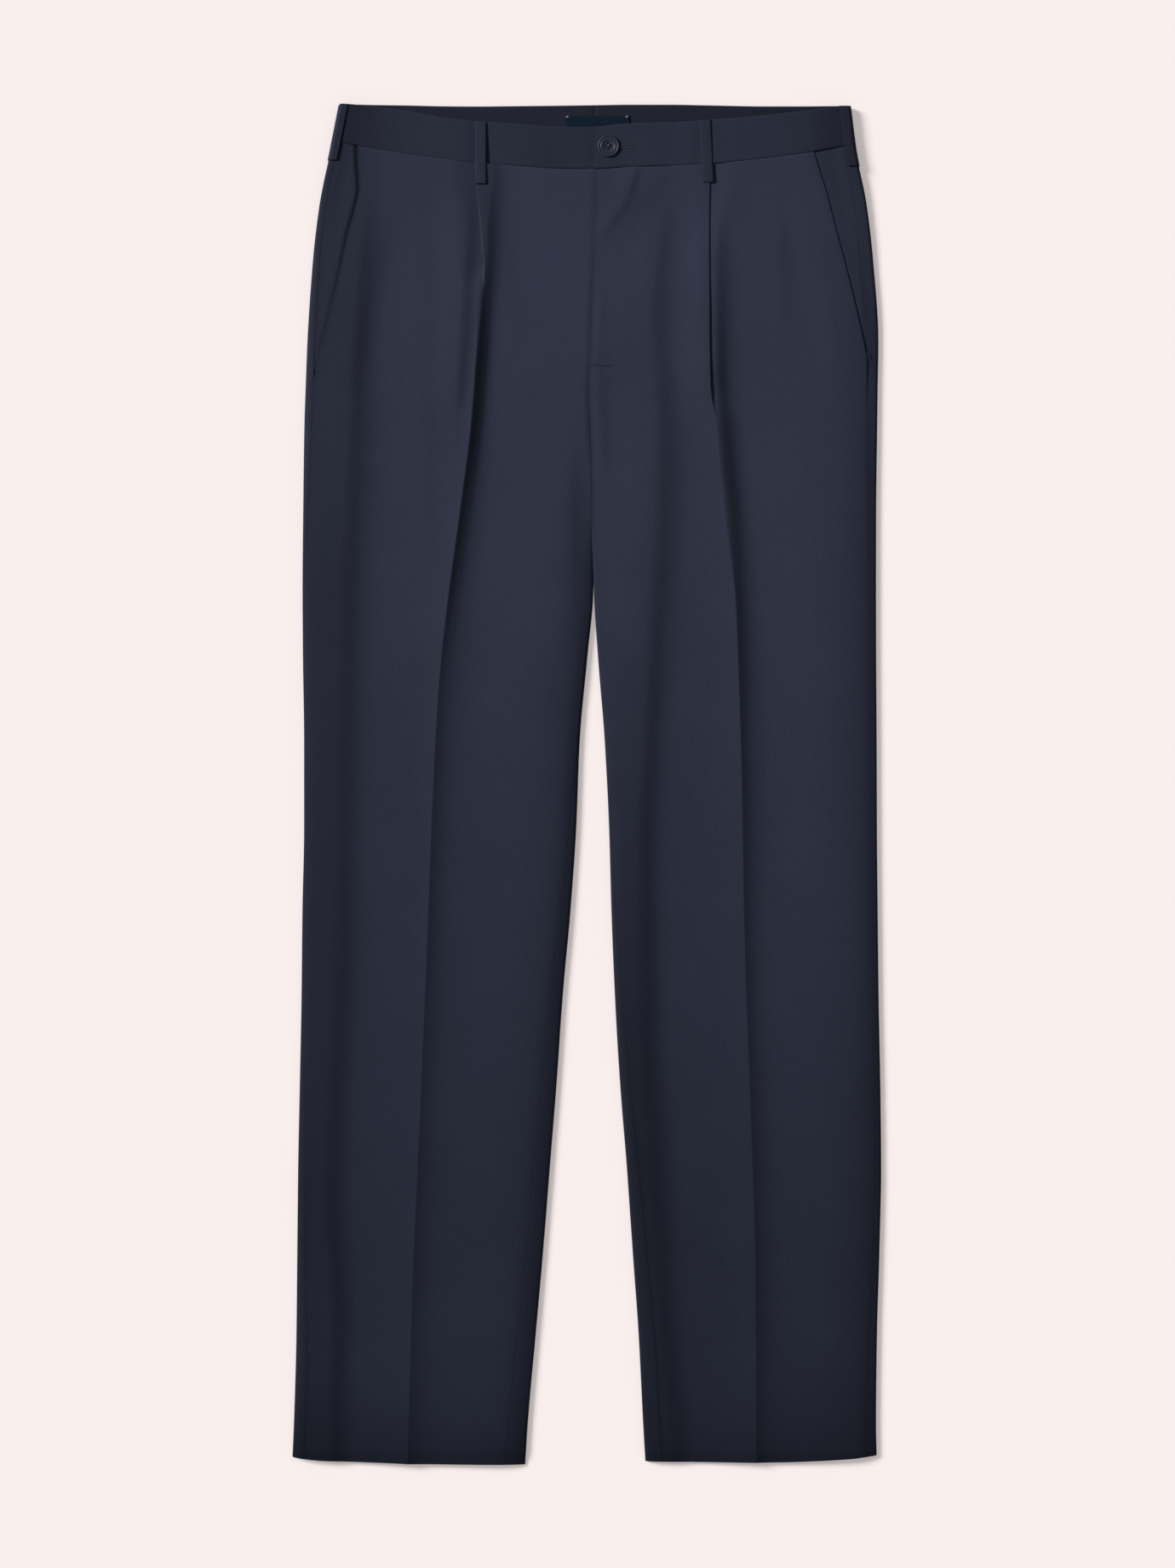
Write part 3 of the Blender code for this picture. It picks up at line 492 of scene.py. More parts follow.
    def sinking(self, side: Side, out: Array, drop: Array) -> Array:
        """How far a pocket facing lies below the plain front, where the waistband holds both down.

        Args:
            side: the side of the garment.
            out: distances out.
            drop: drops.

        Returns:
            The depths.
        """
        seam = self.cut.edge(side, Edge.SIDE, drop) - self.cut.seam(side, Edge.SIDE, drop)
        sinks = self.facing_sinks * ease(0, self.facing_sinks_from, seam - out)
        return sinks * (1 - ease(self.waist_row, self.facing_level, drop))

    def fly_sinking(self, side: Side, out: Array, drop: Array) -> Array:
        """How far the right front sinks as it runs under the left one, and the left one with it.

        Args:
            side: the side of the garment.
            out: distances out.
            drop: drops.

        Returns:
            The depths.
        """
        sinks = self.fly_sinks.at("depth", drop) * (1 - ease(*self.fly_settles, drop))
        if side is Side.LEFT:
            return np.broadcast_to(sinks, out.shape)
        return sinks * ease(self.fly_sinks_over, 0.0, out - self.cut.edge(side, Edge.INNER, drop))

    def laps(self, side: Side, out: Array, drop: Array) -> Array:
        """How far a front is lifted by the fly underlap and by the pocket facing beneath it.

        Args:
            side: the side of the garment.
            out: distances out.
            drop: drops.

        Returns:
            The heights.
        """
        from_mouth = self.cut.mouth(side, drop) - out
        over_facing = 1 - ease(0, self.facing_slope, from_mouth - self.facing_hidden - self.plain)
        over_facing = over_facing * (1 - ease(*self.facing_settles, drop))
        lift = over_facing * np.maximum(self.lap - self.sinking(side, out, drop), 0.0)
        near = np.exp(-np.maximum(from_mouth, 0.0) / self.mouth_dips_over)
        lift = lift - self.mouth_dips.at(side.value, drop) * near
        if side is Side.RIGHT:
            return lift - self.fly_sinking(side, out, drop)
        from_fly = out - self.cut.edge(side, Edge.INNER, drop)
        over_fly = 1 - ease(0, self.fly_slope, from_fly - self.underlap(drop) - self.plain)
        over = (self.lap - self.fly_sinking(side, out, drop)) * (1 - ease(*self.fly_settles, drop))
        return lift + over * over_fly

    def front_lies(self, side: Side, out: Array, drop: Array) -> Array:
        """Height of a front's folds and laps over the plain front."""
        return self.relief(side, out, drop) + self.laps(side, out, drop)

    def arc_to(self, inset: Number) -> Number:
        """Length along a rolled edge, from its outermost line to a place this far in."""
        angle = np.arccos(1 - np.minimum(inset, self.roll) / self.roll)
        return self.quarter * angle / TURN + np.maximum(inset - self.roll, 0.0)

    def rolled(self, arc: Array, closed: Number, low: Number, high: Number, wall: float) -> Stations:
        """Stations along a rolled edge, a half ellipse between the lower and the upper face.

        Args:
            arc: length along the edge, above 0 on the upper face and below 0 on the lower one.
            closed: 1 where the edge is folded and 0 where its two faces end separately.
            low: height of the lower face.
            high: height of the upper face.
            wall: thickness of the cloth.

        Returns:
            Distance in from the edge, height, and the normal's angle, where 0 points out of the edge
            and a quarter turn points up.
        """
        angle = np.clip(arc / self.quarter, -1, 1) * TURN
        half = (high - low - wall) / 2
        inset = self.roll - (self.roll - closed * wall / 2) * np.cos(angle)
        inset = inset + np.maximum(np.abs(arc) - self.quarter, 0)
        upper = high - wall / 2 - closed * half * (1 - np.sin(angle))
        lower = low + wall / 2 + closed * half * (1 + np.sin(angle))
        height = np.where(arc > 0, upper, lower)
        tilt = np.where(arc > 0, TURN - closed * (TURN - angle), closed * (TURN + angle) - TURN)
        return inset, height, tilt

    def panel_drop(self, side: Side, row: Array, out: Array, upper: Number) -> Array:
        """Drop of a leg panel's row, which follows the waist seam at its top and the hem at its foot.

        Args:
            side: the leg's side.
            row: the row's drop where seam and hem are level.
            out: distances out.
            upper: 1 on the front face and 0 on the back face.

        Returns:
            The drops.
        """
        x = side.outward * out
        waist = self.cut.waist
        seam = upper * waist.at("front_seam", x) + (1 - upper) * self.cut.back_seam
        inner, outer = (self.cut.edge(side, edge, self.hem_row) for edge in (Edge.INNER, Edge.SIDE))
        hem = self.cut.hems.at(side.value, (out - inner) / (outer - inner))
        at_waist = 1 - ease(self.waist_row, self.waist_rows_level, row)
        at_hem = ease(self.hem_rows_level, self.hem_row, row)
        return row + at_waist * (seam + self.cut.half_seam - self.waist_row) + at_hem * (hem - self.hem_row)

    def settled(self, stretches: list[Stretch], place: Callable[[Array, Array], Array]) -> tuple[Array, ...]:
        """Stations of a piece whose drops depend on its places, each worked out from the other in turn.

        Args:
            stretches: the piece's stretches and how many columns each has.
            place: gives drops from distances out and the share of the front face.

        Returns:
            Drop, distance out, height and angle.
        """
        counts = [count for _, count in stretches]
        stops = np.cumsum(counts)[:-1]
        drop = place(np.zeros((1, sum(counts))), np.ones((1, sum(counts))))
        for _ in range(SETTLINGS):
            parts = [np.broadcast_arrays(*make(part))
                     for (make, _), part in zip(stretches, np.split(drop, stops, axis=1))]
            out, height, tilt = (np.concatenate(columns, axis=1) for columns in zip(*parts))
            drop = place(out, upper_share(tilt))
        return drop, out, height, tilt


@dataclass(frozen=True)
class Pleat:
    """The S-fold of a reverse pleat, which opens out into the leg's crease."""

    lie: Lie
    side: Side
    opens: float
    ends: float
    turn_radius: Table
    depth: float = 12.0
    least_depth: float = 0.6
    sinks: float = 0.75
    least_angle: float = 0.02
    least_arc: float = 1.0
    crease_arc: float = 5.0
    crease_rounds: float = 90.0

    @classmethod
    def on(cls, lie: Lie, side: Side) -> "Pleat":
        """The pleat of one side: the left one stays folded further down than the right one.

        Args:
            lie: how the layers lie.
            side: the side of the garment.

        Returns:
            The pleat.
        """
        if side is Side.RIGHT:
            radii = Table("drop radius", (45, 0.38), (150, 0.38))
            return cls(lie, side, opens=100.0, ends=150.0, turn_radius=radii)
        radii = Table("drop radius", (45, 0.2), (130, 0.2), (165, 0.3), (205, 0.34))
        return cls(lie, side, opens=190.0, ends=252.0, turn_radius=radii)

    def measures(self, drop: Array) -> dict[str, Array]:
        """Sizes of the fold at each drop.

        The cloth turns down by an angle, runs back under itself for the hidden depth, and turns
        forward again. The angle is half a turn down to where the pleat opens and nothing at its end.

        Args:
            drop: drops.

        Returns:
            The angle, depth and radius, how far the cloth rises before the fold and sinks past it,
            and the places of its edge, its beginning and its end as distances out.
        """
        lie = self.lie
        angle = np.maximum(math.pi * (1 - ease(self.opens, self.ends, drop)), self.least_angle)
        depth = self.depth * (self.opens - drop) / (self.opens - lie.waist_row)
        depth = np.clip(depth, self.least_depth, self.depth)
        least = self.least_arc * np.clip(2 - 2 * angle / math.pi, 0, 1)
        arc = np.maximum(self.turn_radius.at("radius", drop) * angle, least)
        arc = arc + (self.crease_arc - self.least_arc) * ease(self.ends, self.ends + self.crease_rounds, drop)
        radius = arc / angle
        falls = 2 * radius * (1 - np.cos(angle)) + depth * np.sin(angle)
        room = lie.front_top(drop) - lie.back_underside(drop) - 2 * lie.wall - lie.gap
        sinks = np.minimum(self.sinks * falls, room)
        edge = lie.cut.crease(self.side, drop)
        begins = edge - (radius + lie.wall / 2) * np.sin(np.minimum(angle, TURN))
        ends = begins + 2 * radius * np.sin(angle) + depth * np.cos(angle)
        return {"angle": angle, "depth": depth, "radius": radius, "sinks": sinks, "rises": falls - sinks,
                "edge": edge, "begins": begins, "ends": ends}

    def stations(self, drop: Array, share: Array) -> Stations:
        """Distance out, height over the plain front and angle through the fold.

        Args:
            drop: drops.
            share: 0 to 1 through the first turn, 1 to 2 along the hidden run, 2 to 3 through the
                second turn.

        Returns:
            The stations.
        """
        fold = self.measures(drop)
        angle, radius = fold["angle"], fold["radius"]
        first = angle * np.clip(share, 0, 1)
        run = fold["depth"] * np.clip(share - 1, 0, 1)
        second = angle * np.clip(3 - share, 0, 1)
        out = radius * (np.sin(first) + np.sin(angle) - np.sin(second)) + run * np.cos(angle)
        down = radius * (1 - np.cos(first) + np.cos(second) - np.cos(angle)) + run * np.sin(angle)
        return fold["begins"] + out, fold["rises"] - down, TURN - np.minimum(first, second)


def group_socket(group: bpy.types.NodeTree, name: str, kind: str, way: str,
                 value: float | None = None) -> None:
    """Adds a named input or output to a node group.

    Args:
        group: the node group.
        name: the socket's name.
        kind: the socket's type, as in NodeSocketFloat.
        way: INPUT or OUTPUT.
        value: an input's starting value.
    """
    socket = group.interface.new_socket(name=name, in_out=way, socket_type=kind)
    if value is not None:
        socket.default_value = value


class Nodes:
    """A node tree with short ways to add and join nodes."""

    def __init__(self, tree: bpy.types.NodeTree) -> None:
        """Keeps the tree to build in."""
        self.tree = tree

    def add(self, kind: str, *sources: object, **settings: object) -> bpy.types.Node:
        """Adds a node.

        Args:
            kind: the node's type.
            sources: what feeds its inputs in order: a socket, a value, or None to leave one alone.
            settings: properties of the node.

        Returns:
            The node.
        """
        node = self.tree.nodes.new(kind)
        for name, value in settings.items():
            setattr(node, name, value)
        for place, source in zip(node.inputs, sources):
            self.feed(place, source)
        return node

    def feed(self, place: Socket, source: object) -> None:
        """Joins a socket to an input, or sets its value.

        Args:
            place: the input.
            source: a socket, a value, or None to leave the input alone.
        """
        if isinstance(source, Socket):
            self.tree.links.new(source, place)
        elif source is not None:
            place.default_value = source

    def maths(self, operation: str, *sources: object) -> Socket:
        """The result of a sum on numbers."""
        return self.add("ShaderNodeMath", *sources, operation=operation).outputs[0]

    def noise(self, vector: object, scale: float, detail: float) -> Socket:
        """Noise from 0 to 1 at a scale in cycles for each unit of the vector.

        Args:
            vector: what it is read by.
            scale: the scale.
            detail: how many octaves it has.

        Returns:
            The noise.
        """
        node = self.add("ShaderNodeTexNoise", vector)
        node.inputs["Scale"].default_value = scale
        node.inputs["Detail"].default_value = detail
        return node.outputs["Fac"]

    def mix(self, share: Socket, first: Colour, second: Colour) -> Socket:
        """A colour that goes from the first to the second as the share goes from 0 to 1.

        Args:
            share: the share.
            first: the colour at 0.
            second: the colour at 1.

        Returns:
            The mixed colour.
        """
        node = self.add("ShaderNodeMix", data_type="RGBA")
        self.feed(node.inputs[MIX_SHARE], share)
        self.feed(node.inputs[MIX_FIRST], (*first, 1.0))
        self.feed(node.inputs[MIX_SECOND], (*second, 1.0))
        return node.outputs[MIX_RESULT]

    def bump(self, height: Socket, strength: float, distance: float) -> Socket:
        """The normal of a low relief.

        Args:
            height: the relief, from 0 to 1.
            strength: how much of it shows.
            distance: its depth in metres.

        Returns:
            The normal.
        """
        node = self.add("ShaderNodeBump")
        for name, source in (("Strength", strength), ("Distance", distance), ("Height", height)):
            self.feed(node.inputs[name], source)
        return node.outputs[0]


@dataclass(frozen=True)
class Weave:
    """A fine twill of slightly uneven yarns, read from the cloth's own map in millimetres."""

    name: str = "twill_weave"
    twill_pitch: float = 0.62
    yarn_pitch: float = 0.31
    slant: float = 0.6
    yarn_grain: tuple[float, float, float] = (1.6, 0.09, 1.0)
    patch_grain: float = 0.02
    detail: float = 3.0
    twill_height: float = 0.3
    yarn_height: float = 0.12
    twill_tone: float = 0.10
    yarn_tone: float = 0.7
    patch_tone: float = 0.3

    def group(self) -> bpy.types.NodeTree:
        """Builds the node group.

        Height is a sine of the place along the twill's diagonal, plus a sine across the yarns, plus
        noise that is stretched along each yarn. Tone is that noise, with a little of the twill and
        with broad, faint patches.

        Returns:
            The node group.
        """
        group = bpy.data.node_groups.new(self.name, "ShaderNodeTree")
        group_socket(group, "Map", "NodeSocketVector", "INPUT")
        group_socket(group, "Twill pitch", "NodeSocketFloat", "INPUT", self.twill_pitch)
        group_socket(group, "Yarn pitch", "NodeSocketFloat", "INPUT", self.yarn_pitch)
        group_socket(group, "Tone", "NodeSocketFloat", "OUTPUT")
        group_socket(group, "Height", "NodeSocketFloat", "OUTPUT")
        nodes = Nodes(group)
        given = nodes.add("NodeGroupInput")
        mapped = given.outputs["Map"]
        place = nodes.add("ShaderNodeSeparateXYZ", mapped)
        across, along = place.outputs[0], place.outputs[1]
        diagonal = nodes.maths("ADD", across, nodes.maths("MULTIPLY", along, self.slant))
        twill = nodes.maths("DIVIDE", diagonal, given.outputs["Twill pitch"])
        twill = nodes.maths("SINE", nodes.maths("MULTIPLY", twill, math.tau))
        yarn = nodes.maths("DIVIDE", across, given.outputs["Yarn pitch"])
        yarn = nodes.maths("SINE", nodes.maths("MULTIPLY", yarn, math.tau))
        stretched = nodes.add("ShaderNodeVectorMath", mapped, self.yarn_grain, operation="MULTIPLY")
        slub = nodes.noise(stretched.outputs[0], 1.0, self.detail)
        patches = nodes.maths("MULTIPLY", nodes.noise(mapped, self.patch_grain, self.detail), self.patch_tone)
        height = nodes.maths("MULTIPLY_ADD", yarn, self.yarn_height, slub)
        height = nodes.maths("MULTIPLY_ADD", twill, self.twill_height, height)
        tone_and_painted_light = nodes.maths("MULTIPLY_ADD", slub, self.yarn_tone, patches)
        tone_and_painted_light = nodes.maths("MULTIPLY_ADD", twill, self.twill_tone, tone_and_painted_light)
        nodes.add("NodeGroupOutput", tone_and_painted_light, height)
        return group


def principled(name: str, roughness: float,
               specular: float = 0.5) -> tuple[Material, Nodes, bpy.types.Node]:
    """Starts a material.

    Args:
        name: the material's name.
        roughness: its roughness.
        specular: the level of its mirror reflection.

    Returns:
        The material, its nodes and its shader.
    """
    material = bpy.data.materials.new(name)
    material.use_nodes = True
    shader = material.node_tree.nodes["Principled BSDF"]
    shader.inputs["Roughness"].default_value = roughness
    shader.inputs["Specular IOR Level"].default_value = specular
    return material, Nodes(material.node_tree), shader


@dataclass(frozen=True)
class Suiting:
    """Navy wool suiting: its colours in the yarns' hollows and crowns, its nap and its weave's depth."""

    name: str = "suiting"
    hollow: Colour = (0.0155, 0.0189, 0.0344)
    crown: Colour = (0.0279, 0.0332, 0.0574)
    roughness: float = 0.85
    specular: float = 0.10
    sheen: float = 0.04
    sheen_roughness: float = 0.45
    sheen_tint: Colour = (0.75, 0.80, 1.0)
    weave_shows: float = 0.35
    weave_depth: float = 0.00012

    def material(self, weave: bpy.types.NodeTree) -> Material:
        """Makes the material from the weave group, scaled by the cloth's painted light and shade.

        Args:
            weave: the shared weave group.

        Returns:
            The material.
        """
        material, nodes, shader = principled(self.name, self.roughness, self.specular)
        mapped = nodes.add("ShaderNodeUVMap", uv_map="cloth")
        twill = nodes.add("ShaderNodeGroup", node_tree=weave)
        nodes.feed(twill.inputs["Map"], mapped.outputs[0])
        colour = nodes.mix(twill.outputs["Tone"], self.hollow, self.crown)
        # Painted light and shade: the weave's colour is scaled by the cloth's attribute.
        tone_and_painted_light = nodes.add("ShaderNodeAttribute", attribute_name="tone_and_painted_light")
        shaded = nodes.add("ShaderNodeVectorMath", colour, operation="SCALE")
        nodes.feed(shaded.inputs["Scale"], tone_and_painted_light.outputs["Fac"])
        nodes.feed(shader.inputs["Base Color"], shaded.outputs[0])
        shader.inputs["Sheen Weight"].default_value = self.sheen
        shader.inputs["Sheen Roughness"].default_value = self.sheen_roughness
        shader.inputs["Sheen Tint"].default_value = (*self.sheen_tint, 1.0)
        relief = nodes.bump(twill.outputs["Height"], self.weave_shows, self.weave_depth)
        nodes.feed(shader.inputs["Normal"], relief)
        return material


@dataclass(frozen=True)
class Resin:
    """Satin navy resin with a faint cloudy grain, for the button."""

    name: str = "button_resin"
    dark: Colour = (0.012, 0.015, 0.028)
    light: Colour = (0.024, 0.029, 0.050)
    roughness: float = 0.45
    specular: float = 0.22
    grain: float = 420.0
    detail: float = 4.0

    def material(self) -> Material:
        """Makes the material, a mix of two colours by noise.

        Returns:
            The material.
        """
        material, nodes, shader = principled(self.name, self.roughness, self.specular)
        place = nodes.add("ShaderNodeTexCoord")
        cloud = nodes.noise(place.outputs["Object"], self.grain, self.detail)
        nodes.feed(shader.inputs["Base Color"], nodes.mix(cloud, self.dark, self.light))
        return material


@dataclass(frozen=True)
class Thread:
    """Sewing thread, two-ply, whose twist shows as fine slanted bands."""

    name: str
    colour: Colour
    roughness: float = 0.55
    hollow_share: float = 0.7
    twist: float = 900.0

    def material(self) -> Material:
        """Makes the material: the twist darkens the thread's colour in slanted bands.

        Returns:
            The material.
        """
        material, nodes, shader = principled(self.name, self.roughness)
        place = nodes.add("ShaderNodeTexCoord")
        twist = nodes.add("ShaderNodeTexWave", place.outputs["Object"], bands_direction="DIAGONAL")
        twist.inputs["Scale"].default_value = self.twist
        hollow = tuple(part * self.hollow_share for part in self.colour)
        nodes.feed(shader.inputs["Base Color"], nodes.mix(twist.outputs["Fac"], hollow, self.colour))
        return material


@dataclass(frozen=True)
class Tape:
    """Dark satin label tape with fine ribs across it."""

    name: str = "label_tape"
    dark: Colour = (0.0036, 0.0090, 0.0180)
    light: Colour = (0.0070, 0.0155, 0.0300)
    roughness: float = 0.7
    specular: float = 0.04
    ribs: float = 0.7
    unevenness: float = 0.4
    rib_shows: float = 0.3
    rib_depth: float = 0.0001

    def material(self) -> Material:
        """Makes the material: ribs from a wave read off the tape's own map, in millimetres.

        Returns:
            The material.
        """
        material, nodes, shader = principled(self.name, self.roughness, self.specular)
        mapped = nodes.add("ShaderNodeUVMap", uv_map="cloth")
        ribs = nodes.add("ShaderNodeTexWave", mapped.outputs[0], bands_direction="Y")
        ribs.inputs["Scale"].default_value = self.ribs
        ribs.inputs["Distortion"].default_value = self.unevenness
        nodes.feed(shader.inputs["Base Color"], nodes.mix(ribs.outputs["Fac"], self.dark, self.light))
        nodes.feed(shader.inputs["Normal"], nodes.bump(ribs.outputs["Fac"], self.rib_shows, self.rib_depth))
        return material


class Finishes:
    """Every material of the trousers, made once."""

    def __init__(self) -> None:
        """Builds the materials."""
        self.suiting = Suiting().material(Weave().group())
        self.resin = Resin().material()
        self.navy_thread = Thread("navy_thread", (0.034, 0.038, 0.064)).material()
        self.dark_thread = Thread("dark_thread", (0.021, 0.0245, 0.043), roughness=0.8).material()
        self.white_thread = Thread("white_thread", (0.62, 0.62, 0.60)).material()
        self.tape = Tape().material()


def in_scene(name: str, data: bpy.types.ID) -> Thing:
    """Puts a new object into the scene, at the origin.

    Args:
        name: the object's name.
        data: its mesh, lamp or camera.

    Returns:
        The object.
    """
    thing = bpy.data.objects.new(name, data)
    bpy.context.scene.collection.objects.link(thing)
    return thing


def mesh_object(name: str, points: Array, quads: Array, material: Material,
                triangles: Array | None = None) -> Thing:
    """Puts a surface worked out in millimetres into a smooth-shaded mesh in metres at the origin.

    Its faces are turned round if the volume that they close comes out below 0.

    Args:
        name: the object's name.
        points: places, one row each.
        quads: four point numbers for each face.
        material: the finish.
        triangles: three point numbers for each further face, as at a pole.

    Returns:
        The object, riding on the trousers' one body.
    """
    a, b, c, d = (points[quads[:, k]] for k in range(4))
    volume = np.einsum("ij,ij->i", a, np.cross(b, c) + np.cross(c, d)).sum()
    faces = [quads] if triangles is None else [quads, triangles]
    if volume < 0:
        faces = [part[:, ::-1] for part in faces]
    corners = np.concatenate([part.ravel() for part in faces]).astype(np.int32)
    sizes = np.concatenate([np.full(len(part), part.shape[1], np.int32) for part in faces])
    mesh = bpy.data.meshes.new(name)
    mesh.vertices.add(len(points))
    mesh.vertices.foreach_set("co", (points * MM).astype(np.float32).ravel())
    mesh.loops.add(len(corners))
    mesh.loops.foreach_set("vertex_index", corners)
    mesh.polygons.add(len(sizes))
    mesh.polygons.foreach_set("loop_start", (np.cumsum(sizes) - sizes).astype(np.int32))
    mesh.update(calc_edges=True)
    mesh.shade_smooth()
    mesh.materials.append(material)
    LOG.info("%s: %d faces", name, len(sizes))
    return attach(in_scene(name, mesh), "root")


@dataclass
class Shell:
    """A thin closed wall on a grid of stations, whose two faces meet in a rounded rim.

    The grid's channels are the place, the normal, the two coordinates of the cloth's own map, and
    the painted light and shade that scales the colour. Near the rim, half the thickness follows a
    quarter circle, and painted shade darkens the colour.
    """

    name: str
    grid: Array
    thickness: float
    rim_shares: tuple[float, ...] = (0.1, 0.35, 0.7)
    rim_within: float = 0.8
    # Painted shade that darkens the colour towards the rim, where the rounded edge catches the light.
    rim_shade: float = 0.5

    @classmethod
    def of(cls, name: str, side: Side, stations: tuple[Number, ...], thickness: float, warp_column: int = 0,
           tone_and_painted_light: Number = 1.0) -> "Shell":
        """Makes a shell from stations.

        The cloth's map runs across from the warp column, by the length along each row, and down by
        the drop.

        Args:
            name: the piece's name.
            side: the side it is on.
            stations: drop, distance out, height and angle.
            thickness: the cloth's thickness.
            warp_column: the column that the yarns run along.
            tone_and_painted_light: painted light and shade on the colour, 1 where it is plain.

        Returns:
            The shell.
        """
        drop, out, height, tilt = np.broadcast_arrays(*stations)
        place = np.stack([side.outward * out, LENGTH / 2 - drop, height], axis=-1)
        normal = np.stack([side.outward * np.cos(tilt), np.zeros(drop.shape), np.sin(tilt)], axis=-1)
        along = np.linalg.norm(np.diff(place[..., ::2], axis=1), axis=-1)
        across = np.concatenate([np.zeros((len(drop), 1)), np.cumsum(along, axis=1)], axis=1)
        across = across - across[:, warp_column:warp_column + 1]
        extra = np.stack([across, drop, np.broadcast_to(tone_and_painted_light, drop.shape)], axis=-1)
        return cls(name, np.concatenate([place, normal, extra], axis=-1), thickness)

    def with_rim(self, grid: Array) -> Array:
        """Adds columns close to both ends of every row, read off its first and last stretches.

        Args:
            grid: the grid of stations.

        Returns:
            The grid with the added columns.
        """
        reach = self.thickness / 2
        shares = np.array(self.rim_shares)

        def added(end: Array, next_in: Array) -> Array:
            """Columns between an end column and the next one in.

            Args:
                end: the end column's stations.
                next_in: the next column's.

            Returns:
                The added stations.
            """
            length = np.linalg.norm(next_in[..., PLACE] - end[..., PLACE], axis=-1)[:, None]
            share = reach * shares / np.maximum(length, np.finfo(float).tiny)
            share = np.minimum(share, shares * self.rim_within)[..., None]
            return end[:, None] + share * (next_in - end)[:, None]

        first = added(grid[:, 0], grid[:, 1])
        last = added(grid[:, -1], grid[:, -2])[:, ::-1]
        return np.concatenate([grid[:, :1], first, grid[:, 1:-1], last, grid[:, -1:]], axis=1)

    def fullness(self, grid: Array) -> Array:
        """How full the wall is at each station, from 0 at the rim to 1 half a thickness in from it.

        Args:
            grid: the grid of stations.

        Returns:
            The shares.
        """
        half = self.thickness / 2
        nearest = np.full(grid.shape[:2], np.inf)
        for axis in (0, 1):
            steps = np.linalg.norm(np.diff(grid[..., PLACE], axis=axis), axis=-1)
            run = np.insert(np.cumsum(steps, axis=axis), 0, 0.0, axis=axis)
            total = np.take(run, [-1], axis=axis)
            nearest = np.minimum(nearest, np.minimum(run, total - run))
        return np.sqrt(1 - np.square(1 - np.minimum(nearest / half, 1.0)))

    def build(self, node: str, slot: str, material: Material) -> Thing:
        """Makes the object that stands for a CAD node, with its map and its painted light and shade.

        Args:
            node: the node's name.
            slot: the node's slot, not used.
            material: the finish.

        Returns:
            The object.
        """
        grid = self.with_rim(self.grid)
        grid = np.swapaxes(self.with_rim(np.swapaxes(grid, 0, 1)), 0, 1)
        grid[..., NORMAL] /= np.linalg.norm(grid[..., NORMAL], axis=-1, keepdims=True)
        full = self.fullness(grid)[..., None]
        # Painted shade: the colour is darkened towards the rim.
        grid[..., PAINTED_LIGHT] *= 1 - self.rim_shade * (1 - full)
        offset = grid[..., NORMAL] * full * self.thickness / 2
        rows, columns = grid.shape[:2]
        upper = np.arange(rows * columns).reshape(rows, columns)
        lower = upper.copy()
        inside = (slice(1, -1), slice(1, -1))
        lower[inside] = rows * columns + np.arange((rows - 2) * (columns - 2)).reshape(rows - 2, columns - 2)
        points = np.concatenate([(grid[..., PLACE] + offset).reshape(-1, 3),
                                 (grid[..., PLACE] - offset)[inside].reshape(-1, 3)])
        extra = np.concatenate([grid[..., EXTRA].reshape(-1, 3), grid[..., EXTRA][inside].reshape(-1, 3)])
        faces = []
        for index in (upper, lower[:, ::-1]):
            corners = (index[:-1, :-1], index[1:, :-1], index[1:, 1:], index[:-1, 1:])
            faces.append(np.stack([corner.ravel() for corner in corners], axis=-1))
        thing = mesh_object(self.name, points, np.concatenate(faces), material)
        dress_cloth(thing.data, extra)
        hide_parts(node)
        return thing


def dress_cloth(mesh: bpy.types.Mesh, extra: Array) -> None:
    """Gives a mesh of cloth its own map, in millimetres, and its painted light and shade.

    Args:
        mesh: the mesh.
        extra: each point's place across and along the cloth, and its painted light and shade.
    """
    corners = np.empty(len(mesh.loops), np.int32)
    mesh.loops.foreach_get("vertex_index", corners)
    layer = mesh.uv_layers.new(name="cloth")
    layer.uv.foreach_set("vector", extra[corners, :2].astype(np.float32).ravel())
    # The painted light and shade, which the suiting scales its colour by.
    attribute = mesh.attributes.new("tone_and_painted_light", "FLOAT", "POINT")
    attribute.data.foreach_set("value", extra[:, 2].astype(np.float32))


@dataclass
class Half:
    """One side of the garment: how it lies and what it is made of."""

    lie: Lie
    side: Side
    finishes: Finishes

    def edge(self, edge: Edge, drop: Array) -> Array:
        """Distance out of one of the side's folded edges."""
        return self.lie.cut.edge(self.side, edge, drop)


